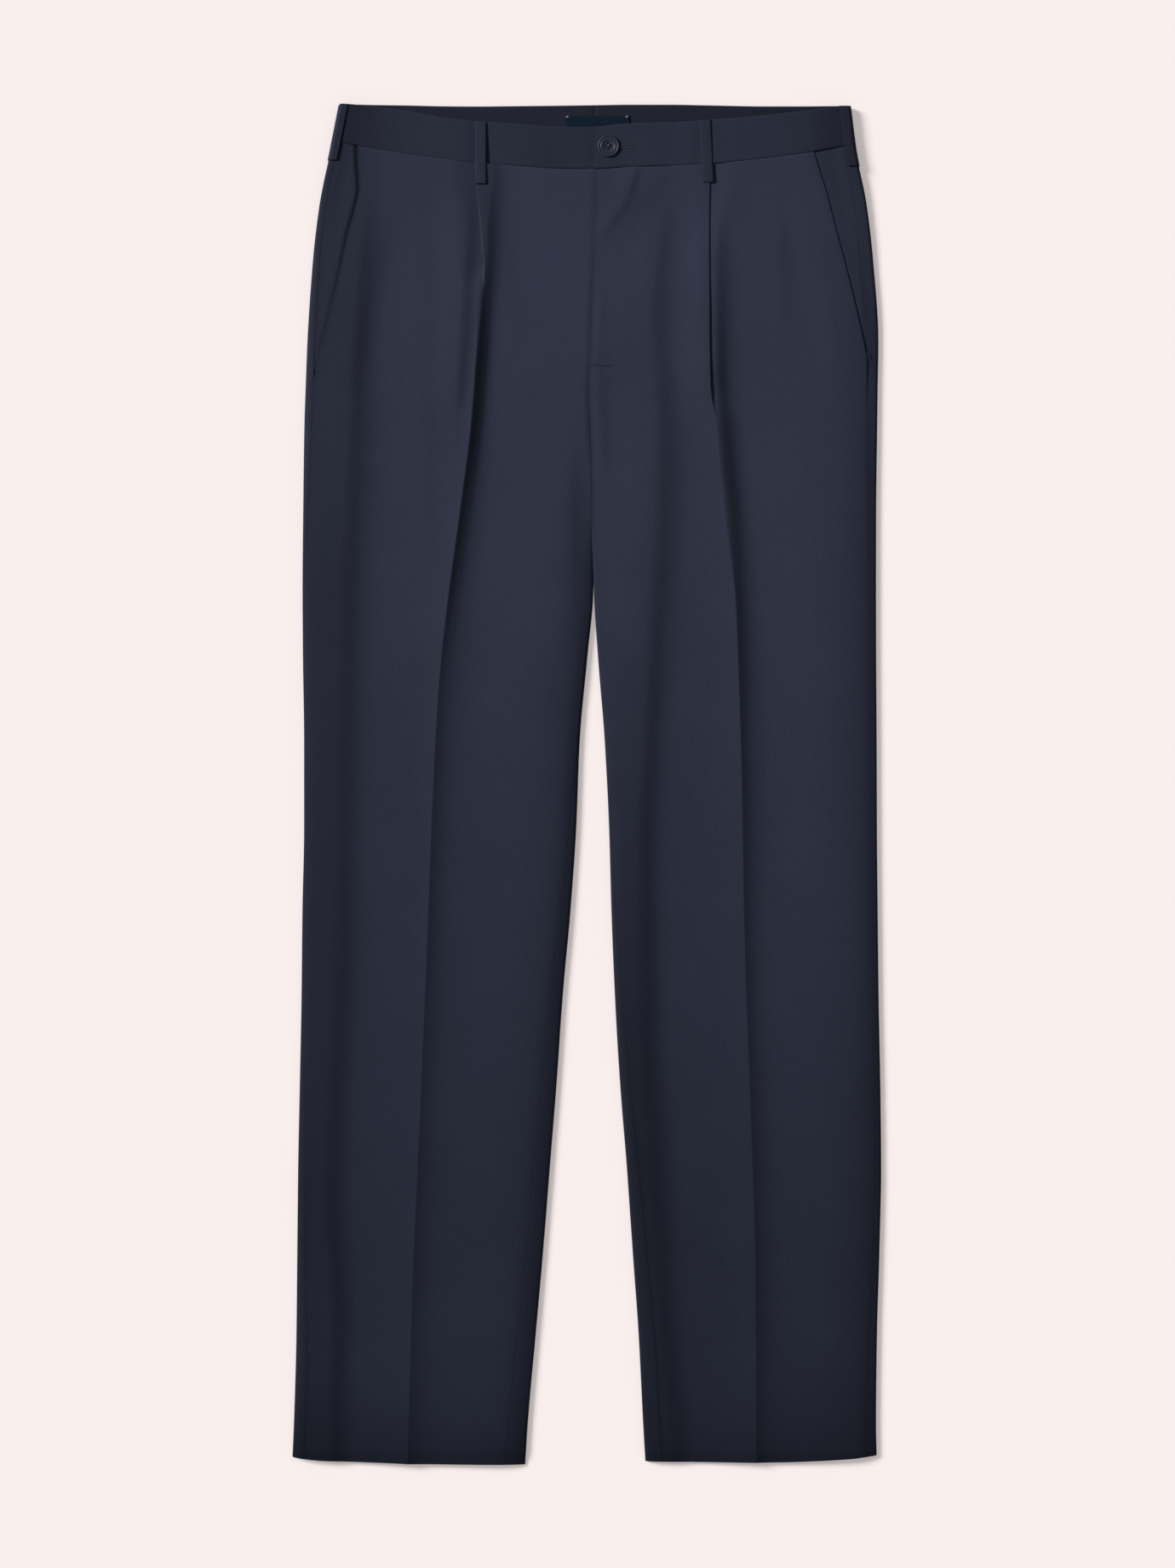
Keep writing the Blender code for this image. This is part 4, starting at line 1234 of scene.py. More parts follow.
@dataclass
class Leg(Half):
    """One side's front, back and pocket facing.

    The steps are pairs of a drop and the distance between the rows down to it, as far as the hem row.
    """

    thickness: float = 0.68
    roll_columns: int = 12
    panel_columns: int = 72
    turn_columns: int = 12
    run_columns: int = 3
    strip_columns: int = 8
    edge_columns: int = 18
    back_columns: int = 40
    facing_columns: int = 36
    front_steps: tuple[Pair, ...] = ((130, 2.5), (260, 3.4), (1000, 7.5), (1039, 4.0), (1051, 1.5))
    back_steps: tuple[Pair, ...] = ((150, 5.0), (1039, 9.0), (1051, 2.0))
    facing_steps: tuple[Pair, ...] = ((210, 4.0),)
    beside_pleat: Pair = (3.0, 1.5)
    rises_over: float = 25.0
    sinks_over: float = 18.0
    # Painted light and shade on the cloth's colour: lighter and darker zones short of the first soft fold,
    # between it and the crease and past the crease, and painted shade along the edges, seams, fly, pocket
    # mouth and pleat, and past the mouth.
    painted_light_turns_over: Pair = (-2.0, 24.0)
    painted_light_zones: dict[Side, Table] = by_side(
        Table(
            "drop short between past",
            (45, 0.8, 1, 1.2), (117, 0.74, 1, 1.2), (203, 0.77, 0.97, 1.15),
            (250, 0.76, 0.97, 1.12), (316, 0.72, 0.98, 1.06), (382, 0.67, 1, 1.06),
            (480, 0.71, 0.96, 1.02), (646, 0.73, 1, 1), (711, 0.79, 1, 1),
            (777, 0.82, 1.02, 1), (843, 0.79, 1.03, 1.01), (909, 0.88, 1.05, 1.07),
            (942, 0.97, 1.12, 1.13), (975, 0.99, 1.16, 1.15), (1015, 0.83, 1.02, 1.08),
            (1041, 0.68, 0.83, 0.86), (1054, 0.64, 0.78, 0.77),
        ),
        Table(
            "drop short between past",
            (45, 1.16, 1.18, 1.2), (84, 1.1, 1.24, 1.2), (117, 1.14, 1.2, 1.17),
            (157, 1.09, 1.08, 1.15), (203, 1.01, 1.03, 1.12), (382, 1, 1.02, 1.14),
            (480, 0.84, 1.02, 1.11), (580, 0.75, 1, 1.11), (646, 0.68, 1, 1.09),
            (711, 0.6, 0.99, 1.06), (777, 0.58, 0.93, 1), (843, 0.58, 0.93, 0.98),
            (909, 0.65, 0.92, 0.97), (942, 0.68, 0.93, 1.01), (975, 0.7, 0.99, 0.97),
            (1015, 0.68, 0.9, 0.86), (1041, 0.62, 0.74, 0.7), (1054, 0.6, 0.72, 0.68),
        ),
    )
    edge_shades: dict[tuple[Side, Edge], Pair] = field(default_factory=lambda: {
        (Side.RIGHT, Edge.SIDE): (0.36, 6.0), (Side.RIGHT, Edge.INNER): (0.38, 6.0),
        (Side.LEFT, Edge.INNER): (0.32, 5.0), (Side.LEFT, Edge.SIDE): (0.12, 30.0)})
    line_shades: Table = Table(
        "drop mouth fly seam",
        (45, 0.55, 0.28, 0), (90, 0.48, 0.28, 0.04), (120, 0.36, 0.36, 0.2),
        (157, 0.3, 0.52, 0.32), (190, 0.24, 0.58, 0.24), (200, 0.1, 0.6, 0.22),
        (210, 0.1, 0.84, 0.23), (250, 0.1, 0.84, 0.26), (330, 0.1, 0.75, 0.3),
        (400, 0.1, 0.65, 0.16), (1054, 0.1, 0.65, 0.2),
    )
    line_reach: float = 1.5
    # Painted shade past the pocket's mouth.
    past_mouth: Table = Table(
        "drop right left",
        (45, 0, 0.26), (90, 0, 0.2), (150, 0, 0.17), (250, 0, 0.1), (330, 0, 0),
    )
    past_mouth_over: Pair = (-1.0, 3.0)
    pleat_shades: Table = Table(
        "drop right left",
        (45, 0.2, 0), (85, 0.2, 0), (112, 0.08, 0), (140, 0, 0),
    )
    pleat_shade_reach: float = 8.0
    pleat: Pleat = field(init=False)

    def __post_init__(self) -> None:
        """Works out the pleat."""
        self.pleat = Pleat.on(self.lie, self.side)

    def seam_arcs(self, edge: Edge, drop: Array, closed: Number) -> tuple[Array, Array]:
        """Places of a seam's two sides along a folded edge: the front's end and the back's end.

        Args:
            edge: the folded edge.
            drop: drops.
            closed: 1 where the edge is folded and 0 where its faces end separately.

        Returns:
            Two lengths along the edge, above 0 on the upper face.
        """
        lie = self.lie
        line = lie.arc_to(lie.cut.seam(self.side, edge, drop))
        apart = lie.cut.half_seam * (1 + closed * (1 - ease(0, lie.quarter, line)))
        return line + apart, line - apart

    def turned(self, arc: Array, closed: Number, drop: Array) -> Stations:
        """Inset, height and angle along one of the leg's rolled edges."""
        lie = self.lie
        return lie.rolled(arc, closed, lie.back_underside(drop), lie.front_top(drop), lie.wall)

    def run_on(self, drop: Array) -> Number:
        """How far the front runs on past the centre."""
        return self.lie.underlap(drop) if self.side is Side.RIGHT else 0.0

    def front_inner(self, drop: Array) -> Stations:
        """The inner end of the front, with the right one's run under the fly.

        Args:
            drop: drops.

        Returns:
            The stations.
        """
        closed = self.lie.fork_closed(drop)
        begin = self.seam_arcs(Edge.INNER, drop, closed)[0]
        arc = spread(begin, np.maximum(begin, self.lie.quarter) + self.lie.plain, self.roll_columns, last=1)
        inset, height, angle = self.turned(arc, closed, drop)
        return self.edge(Edge.INNER, drop) - self.run_on(drop) + inset, height, math.pi - angle

    def front_near(self, drop: Array) -> Stations:
        """The plain stretch between the inner end and the pleat.

        Args:
            drop: drops.

        Returns:
            The stations.
        """
        lie = self.lie
        begin = self.seam_arcs(Edge.INNER, drop, lie.fork_closed(drop))[0]
        start = self.edge(Edge.INNER, drop) - self.run_on(drop) + lie.roll
        start = start + np.maximum(begin - lie.quarter, 0) + lie.plain
        fold = self.pleat.measures(drop)
        stop = fold["begins"] - fold["depth"] - self.beside_pleat[0]
        out = spread(start, stop, self.panel_columns + 1)
        lift = fold["rises"] * (1 - ease(0, self.rises_over, stop - out))
        return out, lie.front_top(drop) - lie.wall / 2 + lift, TURN

    def front_fold(self, drop: Array) -> Stations:
        """The pleat, which is the crease's crest below its end.

        Args:
            drop: drops.

        Returns:
            The stations.
        """
        turn = np.linspace(0, 1, self.turn_columns + 1)
        run = 1 + np.arange(1, self.run_columns + 1) / (self.run_columns + 1)
        out, lift, tilt = self.pleat.stations(drop, np.concatenate([turn, run, 2 + turn]))
        return out, self.lie.front_top(drop) - self.lie.wall / 2 + lift, tilt

    def front_end(self, drop: Array) -> Array:
        """Arc length along the side fold at which the front ends: at the pocket mouth or the seam."""
        inset = np.maximum(self.edge(Edge.SIDE, drop) - self.lie.cut.mouth(self.side, drop), 0.0)
        return np.maximum(self.seam_arcs(Edge.SIDE, drop, 1.0)[0], self.lie.arc_to(inset))

    def front_far(self, drop: Array) -> Stations:
        """The plain stretch between the pleat and the outer end.

        Args:
            drop: drops.

        Returns:
            The stations.
        """
        lie = self.lie
        fold = self.pleat.measures(drop)
        start = np.maximum(fold["edge"], fold["ends"]) + self.beside_pleat[1]
        clear = np.maximum(self.front_end(drop) - lie.quarter, 0) + lie.plain
        out = spread(start, self.edge(Edge.SIDE, drop) - lie.roll - clear, self.panel_columns + 1)
        sink = fold["sinks"] * (1 - ease(0, self.sinks_over, out - start))
        return out, lie.front_top(drop) - lie.wall / 2 - sink, TURN

    def front_outer(self, drop: Array) -> Stations:
        """The outer end of the front.

        Args:
            drop: drops.

        Returns:
            The stations.
        """
        end = self.front_end(drop)
        arc = spread(np.maximum(end, self.lie.quarter) + self.lie.plain, end, self.roll_columns, first=1)
        inset, height, tilt = self.turned(arc, 1.0, drop)
        return self.edge(Edge.SIDE, drop) - inset, height, tilt

    def back_edge(self, edge: Edge, drop: Array) -> Stations:
        """The back's strip on the front face and its rolled edge, as inset, height and angle.

        Args:
            edge: the folded edge.
            drop: drops.

        Returns:
            The stations, from the edge.
        """
        closed = self.lie.fork_closed(drop) if edge is Edge.INNER else np.ones(drop.shape)
        seam = self.seam_arcs(edge, drop, closed)[1]
        turn = np.minimum(seam - self.lie.gap, self.lie.quarter)
        strip, fold = np.split(turn, [self.strip_columns], axis=1)
        on_top = spread(seam[:, :self.strip_columns], strip, self.strip_columns, last=1)
        arc = np.concatenate([on_top, spread(fold, -self.lie.quarter, self.edge_columns)], axis=1)
        return self.turned(arc, closed, drop)

    def back_inner(self, drop: Array) -> Stations:
        """The back's inner end."""
        inset, height, angle = self.back_edge(Edge.INNER, drop)
        return self.edge(Edge.INNER, drop) + inset, height, math.pi - angle

    def back_middle(self, drop: Array) -> Stations:
        """The back's plain stretch, flat on whatever the garment lies on."""
        out = spread(self.edge(Edge.INNER, drop) + self.lie.roll, self.edge(Edge.SIDE, drop) - self.lie.roll,
                     self.back_columns, first=1, last=1)
        return out, self.lie.back_underside(drop) + self.lie.wall / 2, TURN + math.pi

    def back_outer(self, drop: Array) -> Stations:
        """The back's outer end, from the lower face to the side seam on the front face."""
        inset, height, angle = (part[:, ::-1] for part in self.back_edge(Edge.SIDE, drop[:, ::-1]))
        return self.edge(Edge.SIDE, drop) - inset, height, angle

    def facing_stretch(self, drop: Array) -> Stations:
        """The pocket facing, from under the front to the side seam.

        Args:
            drop: drops.

        Returns:
            The stations.
        """
        lie = self.lie
        inset = self.turned(self.seam_arcs(Edge.SIDE, drop, 1.0)[0], 1.0, drop)[0]
        inner = lie.cut.mouth(self.side, drop) - lie.facing_hidden
        out = spread(inner, self.edge(Edge.SIDE, drop) - inset, self.facing_columns)
        return out, lie.front_top(drop) - lie.wall / 2, TURN

    def panel(self, name: str, stretches: list[Stretch], steps: tuple[Pair, ...],
              lies: Callable[[Array, Array], Array], warp_column: int, upper_face: bool = False) -> Thing:
        """Makes a panel from its stretches, then lays it over what is beneath it.

        Args:
            name: the CAD node that the panel stands for.
            stretches: its stretches, each with its number of columns.
            steps: pairs of a drop and the step between the rows down to it.
            lies: the height added on the front face, from distances out and drops.
            warp_column: the column that the yarns run along.
            upper_face: whether all of it is on the front face.

        Returns:
            The object.
        """
        row = self.rows(steps)[:, None]

        def place(out: Array, upper: Array) -> Array:
            """Drops of the rows at these distances out."""
            return self.lie.panel_drop(self.side, row, out, 1.0 if upper_face else upper)

        drop, out, height, tilt = self.lie.settled(stretches, place)
        upper = 1.0 if upper_face else upper_share(tilt)
        height = height + upper * lies(out, drop)
        shell = Shell.of(f"{name}_cloth", self.side, (drop, out, height, tilt), self.thickness, warp_column,
                         self.tone_and_painted_light(out, drop, upper))
        return shell.build(name, "suiting", self.finishes.suiting)

    def tone_and_painted_light(self, out: Array, drop: Array, upper: Number) -> Array:
        """The painted light and shade of the cloth at each station, which scales its colour.

        It is read short of the leg's first soft fold, between that fold and the crease, and past the
        crease. Painted shade makes it lower along both edges, exponentially, along the seams beside
        them, beside the pleat, past the pocket's mouth, and on the line of the opening that faces -X:
        the left front's fly edge or the right mouth.

        Args:
            out: distances out.
            drop: drops.
            upper: 1 on the front face and 0 on the back face.

        Returns:
            The painted light and shade.
        """
        x, painted_light_zones = self.side.outward * out, self.painted_light_zones[self.side]
        from_fold = x - self.lie.folds[self.side][0].course.at("x", drop)
        from_crest = x - self.lie.crests[self.side].at("x", drop)
        short, between, past = (painted_light_zones.at(place, drop) for place in ("short", "between", "past"))
        tone_and_painted_light = short + (between - short) * ease(*self.painted_light_turns_over, from_fold)
        tone_and_painted_light = tone_and_painted_light + (past - between) * ease(*self.painted_light_turns_over, from_crest)
        for edge in Edge:
            folded = self.lie.fork_closed(drop) if edge is Edge.INNER else 1.0
            shade, reach = self.edge_shades[self.side, edge]
            inset = np.abs(self.edge(edge, drop) - out)
            tone_and_painted_light = tone_and_painted_light * (1 - folded * shade * np.exp(-inset / reach))
            from_seam = np.abs(inset - self.lie.cut.seam(self.side, edge, drop))
            shade = folded * upper * self.line_shades.at("seam", drop)
            tone_and_painted_light = tone_and_painted_light * (1 - shade * np.exp(-from_seam / self.line_reach))
        from_pleat = out - self.lie.cut.crease(self.side, drop)
        near_pleat = np.exp(-np.square(from_pleat / self.pleat_shade_reach))
        tone_and_painted_light = tone_and_painted_light * (1 - self.pleat_shades.at(self.side.value, drop) * near_pleat)
        past = ease(*self.past_mouth_over, out - self.lie.cut.mouth(self.side, drop))
        tone_and_painted_light = tone_and_painted_light * (1 - self.past_mouth.at(self.side.value, drop) * past)
        if self.side is Side.LEFT:
            shade, line = self.line_shades.at("fly", drop), self.edge(Edge.INNER, drop)
        else:
            shade, line = self.line_shades.at("mouth", drop), self.lie.cut.mouth(self.side, drop)
        shade = shade * (1 - self.lie.fork_closed(drop))
        return tone_and_painted_light * (1 - shade * np.exp(-np.abs(out - line) / self.line_reach))

    def facing_lies(self, out: Array, drop: Array) -> Array:
        """The facing follows the front over it, a little further down.

        Args:
            out: distances out.
            drop: drops.

        Returns:
            The added height.
        """
        follows = self.lie.relief(self.side, out, drop) - self.lie.sinking(self.side, out, drop)
        sinks = self.lie.mouth_sinks
        past = ease(sinks.at("over", drop), 0.0, out - self.lie.cut.mouth(self.side, drop))
        return follows - self.lie.facing_clear - sinks.at(self.side.value, drop) * past

    def rows(self, steps: tuple[Pair, ...]) -> Array:
        """Drops of rows from the waist seam down.

        Args:
            steps: pairs of a drop and the step between the rows down to it.

        Returns:
            The drops.
        """
        drops, start = [np.array([self.lie.waist_row])], self.lie.waist_row
        for stop, step in steps:
            drops.append(np.linspace(start, stop, max(1, round((stop - start) / step)) + 1)[1:])
            start = stop
        return np.concatenate(drops)

    def build(self) -> None:
        side = self.side.value
        front_lies, back_lies = (partial(lies, self.side) for lies in (self.lie.front_lies, self.lie.relief))
        front = [(self.front_inner, self.roll_columns), (self.front_near, self.panel_columns + 1),
                 (self.front_fold, 2 * self.turn_columns + 2 + self.run_columns),
                 (self.front_far, self.panel_columns + 1), (self.front_outer, self.roll_columns)]
        beside_pleat = self.roll_columns + self.panel_columns
        made = self.panel(f"front_{side}", front, self.front_steps, front_lies, beside_pleat,
                          upper_face=True)
        end = self.strip_columns + self.edge_columns
        back = [(self.back_inner, end), (self.back_middle, self.back_columns), (self.back_outer, end)]
        made = self.panel(f"back_{side}", back, self.back_steps, back_lies, end + self.back_columns // 2)
        facing = [(self.facing_stretch, self.facing_columns)]
        made = self.panel(f"side_pocket_{side}", facing, self.facing_steps, self.facing_lies, 0,
                          upper_face=True)


@dataclass
class Waistband(Half):
    """One half of the waistband, from its front end round the side fold to the centre back."""

    wall: float = 1.6
    thickness: float = 1.1
    top: float = 6.2
    slope: float = 28.0
    apart: float = 0.1
    sinks: float = 0.4
    sinks_over: float = 9.0
    # Painted shade: at the left half's lapped end, and by X on the band's outside and inside, darker towards
    # the side folds, beside the front belt loops and on the inside.
    end_shade: float = 0.35
    end_reach: float = 1.2
    shades: Table = Table(
        "x outside inside",
        (-200, 0.47, 0.48), (-186, 0.46, 0.48), (-172, 0.52, 0.49), (-150, 0.7, 0.5),
        (-120, 0.79, 0.51), (-97, 0.8, 0.53), (-89, 0.7, 0.54), (-83, 0.82, 0.54),
        (-60, 0.8, 0.54), (-30, 0.72, 0.53), (10, 0.79, 0.53), (60, 0.92, 0.54),
        (77, 0.94, 0.54), (84.5, 0.82, 0.54), (91, 0.92, 0.54), (130, 0.92, 0.51),
        (166, 0.83, 0.48), (180, 0.68, 0.46), (196, 0.52, 0.46), (210, 0.5, 0.46),
    )
    front_columns: int = 90
    side_columns: int = 20
    back_columns: int = 40
    rows: int = 18

    def lift(self, out: Array, drop: Array) -> Array:
        """How far the left half is lifted where it laps over the right one, which sinks under it.

        Args:
            out: distances out.
            drop: drops.

        Returns:
            The lift.
        """
        past = out - self.edge(Edge.INNER, drop)
        if self.side is Side.RIGHT:
            return -self.sinks * ease(self.sinks_over, 0.0, past)
        past = past - self.lie.underlap_waist - self.lie.plain
        return (self.thickness + self.apart - self.sinks) * (1 - ease(0, self.slope, past))

    def face(self, side: Side, bars: Array) -> Array:
        """Height of the band's front face at stitches given as rows of X and drop."""
        out = side.outward * bars[:, 0]
        return self.top - self.wall / 2 + self.lift(out, bars[:, 1]) + self.thickness / 2

    def front(self, drop: Array) -> Stations:
        """The run over the front.

        Args:
            drop: drops.

        Returns:
            The stations.
        """
        run_on = self.lie.underlap_waist if self.side is Side.RIGHT else 0.0
        start = self.edge(Edge.INNER, drop) - run_on
        stop = self.edge(Edge.SIDE, drop) - self.lie.roll
        out = spread(start, stop, self.front_columns, last=1)
        return out, self.top - self.wall / 2 + self.lift(out, drop), TURN

    def turn(self, drop: Array) -> Stations:
        """The turn round the side fold.

        Args:
            drop: drops.

        Returns:
            The stations.
        """
        arc = spread(self.lie.quarter, -self.lie.quarter, drop.shape[1])
        low = self.lie.loop_wall + self.lie.gap
        inset, height, angle = self.lie.rolled(arc, 1.0, low, self.top, self.wall)
        return self.edge(Edge.SIDE, drop) - inset, height, angle

    def back(self, drop: Array) -> Stations:
        """The run over the back, to its middle, where the halves' rounded ends run into each other.

        Args:
            drop: drops.

        Returns:
            The stations.
        """
        start = self.edge(Edge.SIDE, drop) - self.lie.roll
        stop = self.edge(Edge.INNER, drop) - self.thickness / 2
        out = spread(start, stop, self.back_columns, first=1)
        height = self.lie.loop_wall + self.lie.gap + self.wall / 2
        return out, height, TURN + math.pi

    def place(self, out: Array, upper: Array) -> Array:
        """Drops of the rows, shared out between the band's top edge and its seam.

        Args:
            out: distances out.
            upper: 1 on the front face and 0 on the back face.

        Returns:
            The drops.
        """
        share = np.linspace(0, 1, self.rows)[:, None]
        x, waist = self.side.outward * out, self.lie.cut.waist
        top = upper * waist.at("front_top", x) + (1 - upper) * waist.at("back_top", x)
        seam = upper * waist.at("front_seam", x) + (1 - upper) * self.lie.cut.back_seam
        return top + (seam - self.lie.cut.half_seam - top) * share

    def tone_and_painted_light(self, out: Array, drop: Array, upper: Array) -> Array:
        """The band's painted shade, lower towards its side folds, on its inside and at its lapped end.

        Args:
            out: distances out.
            drop: drops.
            upper: 1 on the front face and 0 on the back face.

        Returns:
            The painted shade.
        """
        x = self.side.outward * out
        tone_and_painted_light = upper * self.shades.at("outside", x) + (1 - upper) * self.shades.at("inside", x)
        from_end = out - self.edge(Edge.INNER, drop)
        shade = self.end_shade if self.side is Side.LEFT else 0.0
        return tone_and_painted_light * (1 - shade * upper * np.exp(-np.abs(from_end) / self.end_reach))

    def build(self) -> None:
        stretches = [(self.front, self.front_columns), (self.turn, self.side_columns),
                     (self.back, self.back_columns)]
        drop, out, height, tilt = self.lie.settled(stretches, self.place)
        name = f"waistband_{self.side.value}"
        shell = Shell.of(f"{name}_cloth", self.side, (drop, out, height, tilt), self.thickness,
                         tone_and_painted_light=self.tone_and_painted_light(out, drop, upper_share(tilt)))
        thing = shell.build(name, "suiting", self.finishes.suiting)


@dataclass(frozen=True)
class LoopPlace:
    """Where a belt loop is sewn on: its ends as drops, and its centre line or reach as distance out.

    It leans by the distance that its foot is further out than its top.
    """

    start: float
    stop: float
    out: float
    leans: float = 0.0


@dataclass
class BeltLoops:
    """The five belt loops, narrow strips that stand a little off the waistband between their ends."""

    lie: Lie
    band: Waistband
    finishes: Finishes
    width: float = 8.4
    thickness: float = 0.7
    off: float = 0.15
    stands: float = 0.2
    rows: int = 34
    columns: int = 11
    crown: float = 0.15
    crown_tilts: float = 0.6
    # Painted shade that scales the loops' colour, deeper on the side loops.
    front_tone: float = 0.84
    side_tone: float = 0.66
    front_flat: Pair = (0.010, 0.052)
    side_flat: Pair = (0.0125, 0.048)
    back_flat: Pair = (0.010, 0.048)
    wraps: float = 1.0
    front: dict[Side, LoopPlace] = by_side(
        LoopPlace(14.6, 63.0, 82.0), LoopPlace(13.3, 61.5, 92.7, leans=2.4))
    side: dict[Side, LoopPlace] = by_side(LoopPlace(1.5, 44.5, 6.8), LoopPlace(2.5, 49.0, 8.6))
    back_x: Pair = (1.7, 10.9)
    back_drops: Pair = (3.0, 51.0)

    def rows_of(self, place: LoopPlace) -> tuple[Array, Array]:
        """Shares along a loop, closer together at its ends, and the drops at them."""
        share = (1 - np.cos(np.linspace(0, math.pi, self.rows)[:, None])) / 2
        return share, place.start + (place.stop - place.start) * share

    def front_loop(self, side: Side) -> None:
        """A loop on the front face, sewn down at the band's top edge and on the pleat below the band.

        Its height is a straight line between its ends, plus the root of half a sine, plus a low crown
        across it.

        Args:
            side: the side it is on.
        """
        place = self.front[side]
        share, drop = self.rows_of(place)
        across = np.linspace(-0.5, 0.5, self.columns)[None, :]
        out = place.out + self.width * across + place.leans * (share - 0.5)
        end = np.full(out.shape, place.stop)
        pleat = Pleat.on(self.lie, side).measures(end)["rises"] + self.lie.relief(side, out, end)
        foot = (self.lie.front_top(end) + pleat).max()
        base = self.band.top + (foot - self.band.top) * share
        stands = self.stands * np.sqrt(np.sin(math.pi * np.clip(share, 0, 1)))
        height = base + self.off + stands + self.crown * (1 - 4 * across**2)
        tilt = TURN - 4 * self.crown * across * side.outward * self.crown_tilts
        stations = (drop, out, height, tilt)
        self.made(f"belt_loop_front_{side.value}", side, stations, self.front_flat, self.front_tone)

    def side_loop(self, side: Side) -> None:
        """A loop that turns over the band's side fold, made from the band's points moved out.

        Args:
            side: the side of the garment.
        """
        place = self.side[side]
        share, drop = self.rows_of(place)
        arc = np.linspace(self.lie.arc_to(place.out), -self.wraps, 2 * self.columns)[None, :]
        low = self.lie.loop_wall + self.lie.gap
        inset, height, angle = self.lie.rolled(arc, 1.0, low, self.band.top, 0.0)
        off = self.off + self.stands / 2 * np.sqrt(np.sin(math.pi * np.clip(share, 0, 1)))
        out = self.lie.cut.edge(side, Edge.SIDE, drop) - inset + off * np.cos(angle)
        stations = (drop, out, height + off * np.sin(angle), angle)
        self.made(f"belt_loop_side_{side.value}", side, stations, self.side_flat, self.side_tone)

    def back_loop(self) -> None:
        """The loop at the centre back, flat under the band."""
        share = np.linspace(0, 1, self.rows)[:, None]
        drop = self.back_drops[0] + (self.back_drops[1] - self.back_drops[0]) * share
        out = np.linspace(*self.back_x, self.columns)[None, :]
        stations = (drop, out, self.lie.loop_wall / 2, -TURN)
        self.made("belt_loop_back", Side.LEFT, stations, self.back_flat, self.front_tone)

    def made(self, name: str, side: Side, stations: tuple[Number, ...], flat: Pair,
             tone_and_painted_light: float) -> None:
        """Args:
            name: the node's name.
            side: the side it is on.
            stations: the strip's stations.
            flat: its flat width and length in metres, not used.
            tone_and_painted_light: its painted shade on the colour.
        """
        shell = Shell.of(f"{name}_cloth", side, stations, self.thickness, tone_and_painted_light=tone_and_painted_light)
        thing = shell.build(name, "suiting", self.finishes.suiting)

    def build(self) -> None:
        """Makes all five."""
        for side in Side:
            self.front_loop(side)
            self.side_loop(side)
        self.back_loop()


def tubes(paths: Array, radius: float, point: float = 0.02, roundness: float = 0.35) -> tuple[Array, Array]:
    """Closed four-sided tubes round many paths at once, with their ends drawn in to points.

    A ring's points are the path's point plus the radius times the cosine and sine of an angle along
    two directions square to the path. The radius is a low power of half a sine along the tube.

    Args:
        paths: tubes x points x 3.
        radius: the radius away from the ends.
        point: the share of it that is left at the ends.
        roundness: the power, low for ends that draw in late.

    Returns:
        The points and the faces.
    """
    count, steps = paths.shape[:2]
    along = np.gradient(paths, axis=1)
    along /= np.linalg.norm(along, axis=-1, keepdims=True)
    across = np.cross(along, np.array([0.0, 0.0, 1.0]) + NOT_PARALLEL * along[..., ::-1])
    across /= np.linalg.norm(across, axis=-1, keepdims=True)
    up = np.cross(across, along)
    thick = radius * np.sin(np.linspace(0, math.pi, steps)) ** roundness
    thick[[0, -1]] = point * radius
    angle = np.arange(4) * TURN
    ring = across[:, :, None] * np.cos(angle)[:, None] + up[:, :, None] * np.sin(angle)[:, None]
    points = (paths[:, :, None] + thick[:, None, None] * ring).reshape(-1, 3)
    index = np.arange(len(points)).reshape(count, steps, 4)
    turned = np.roll(index, -1, axis=2)
    walls = np.stack([index[:, :-1], turned[:, :-1], turned[:, 1:], index[:, 1:]], axis=-1).reshape(-1, 4)
    return points, np.concatenate([walls, index[:, 0, ::-1], index[:, -1]])


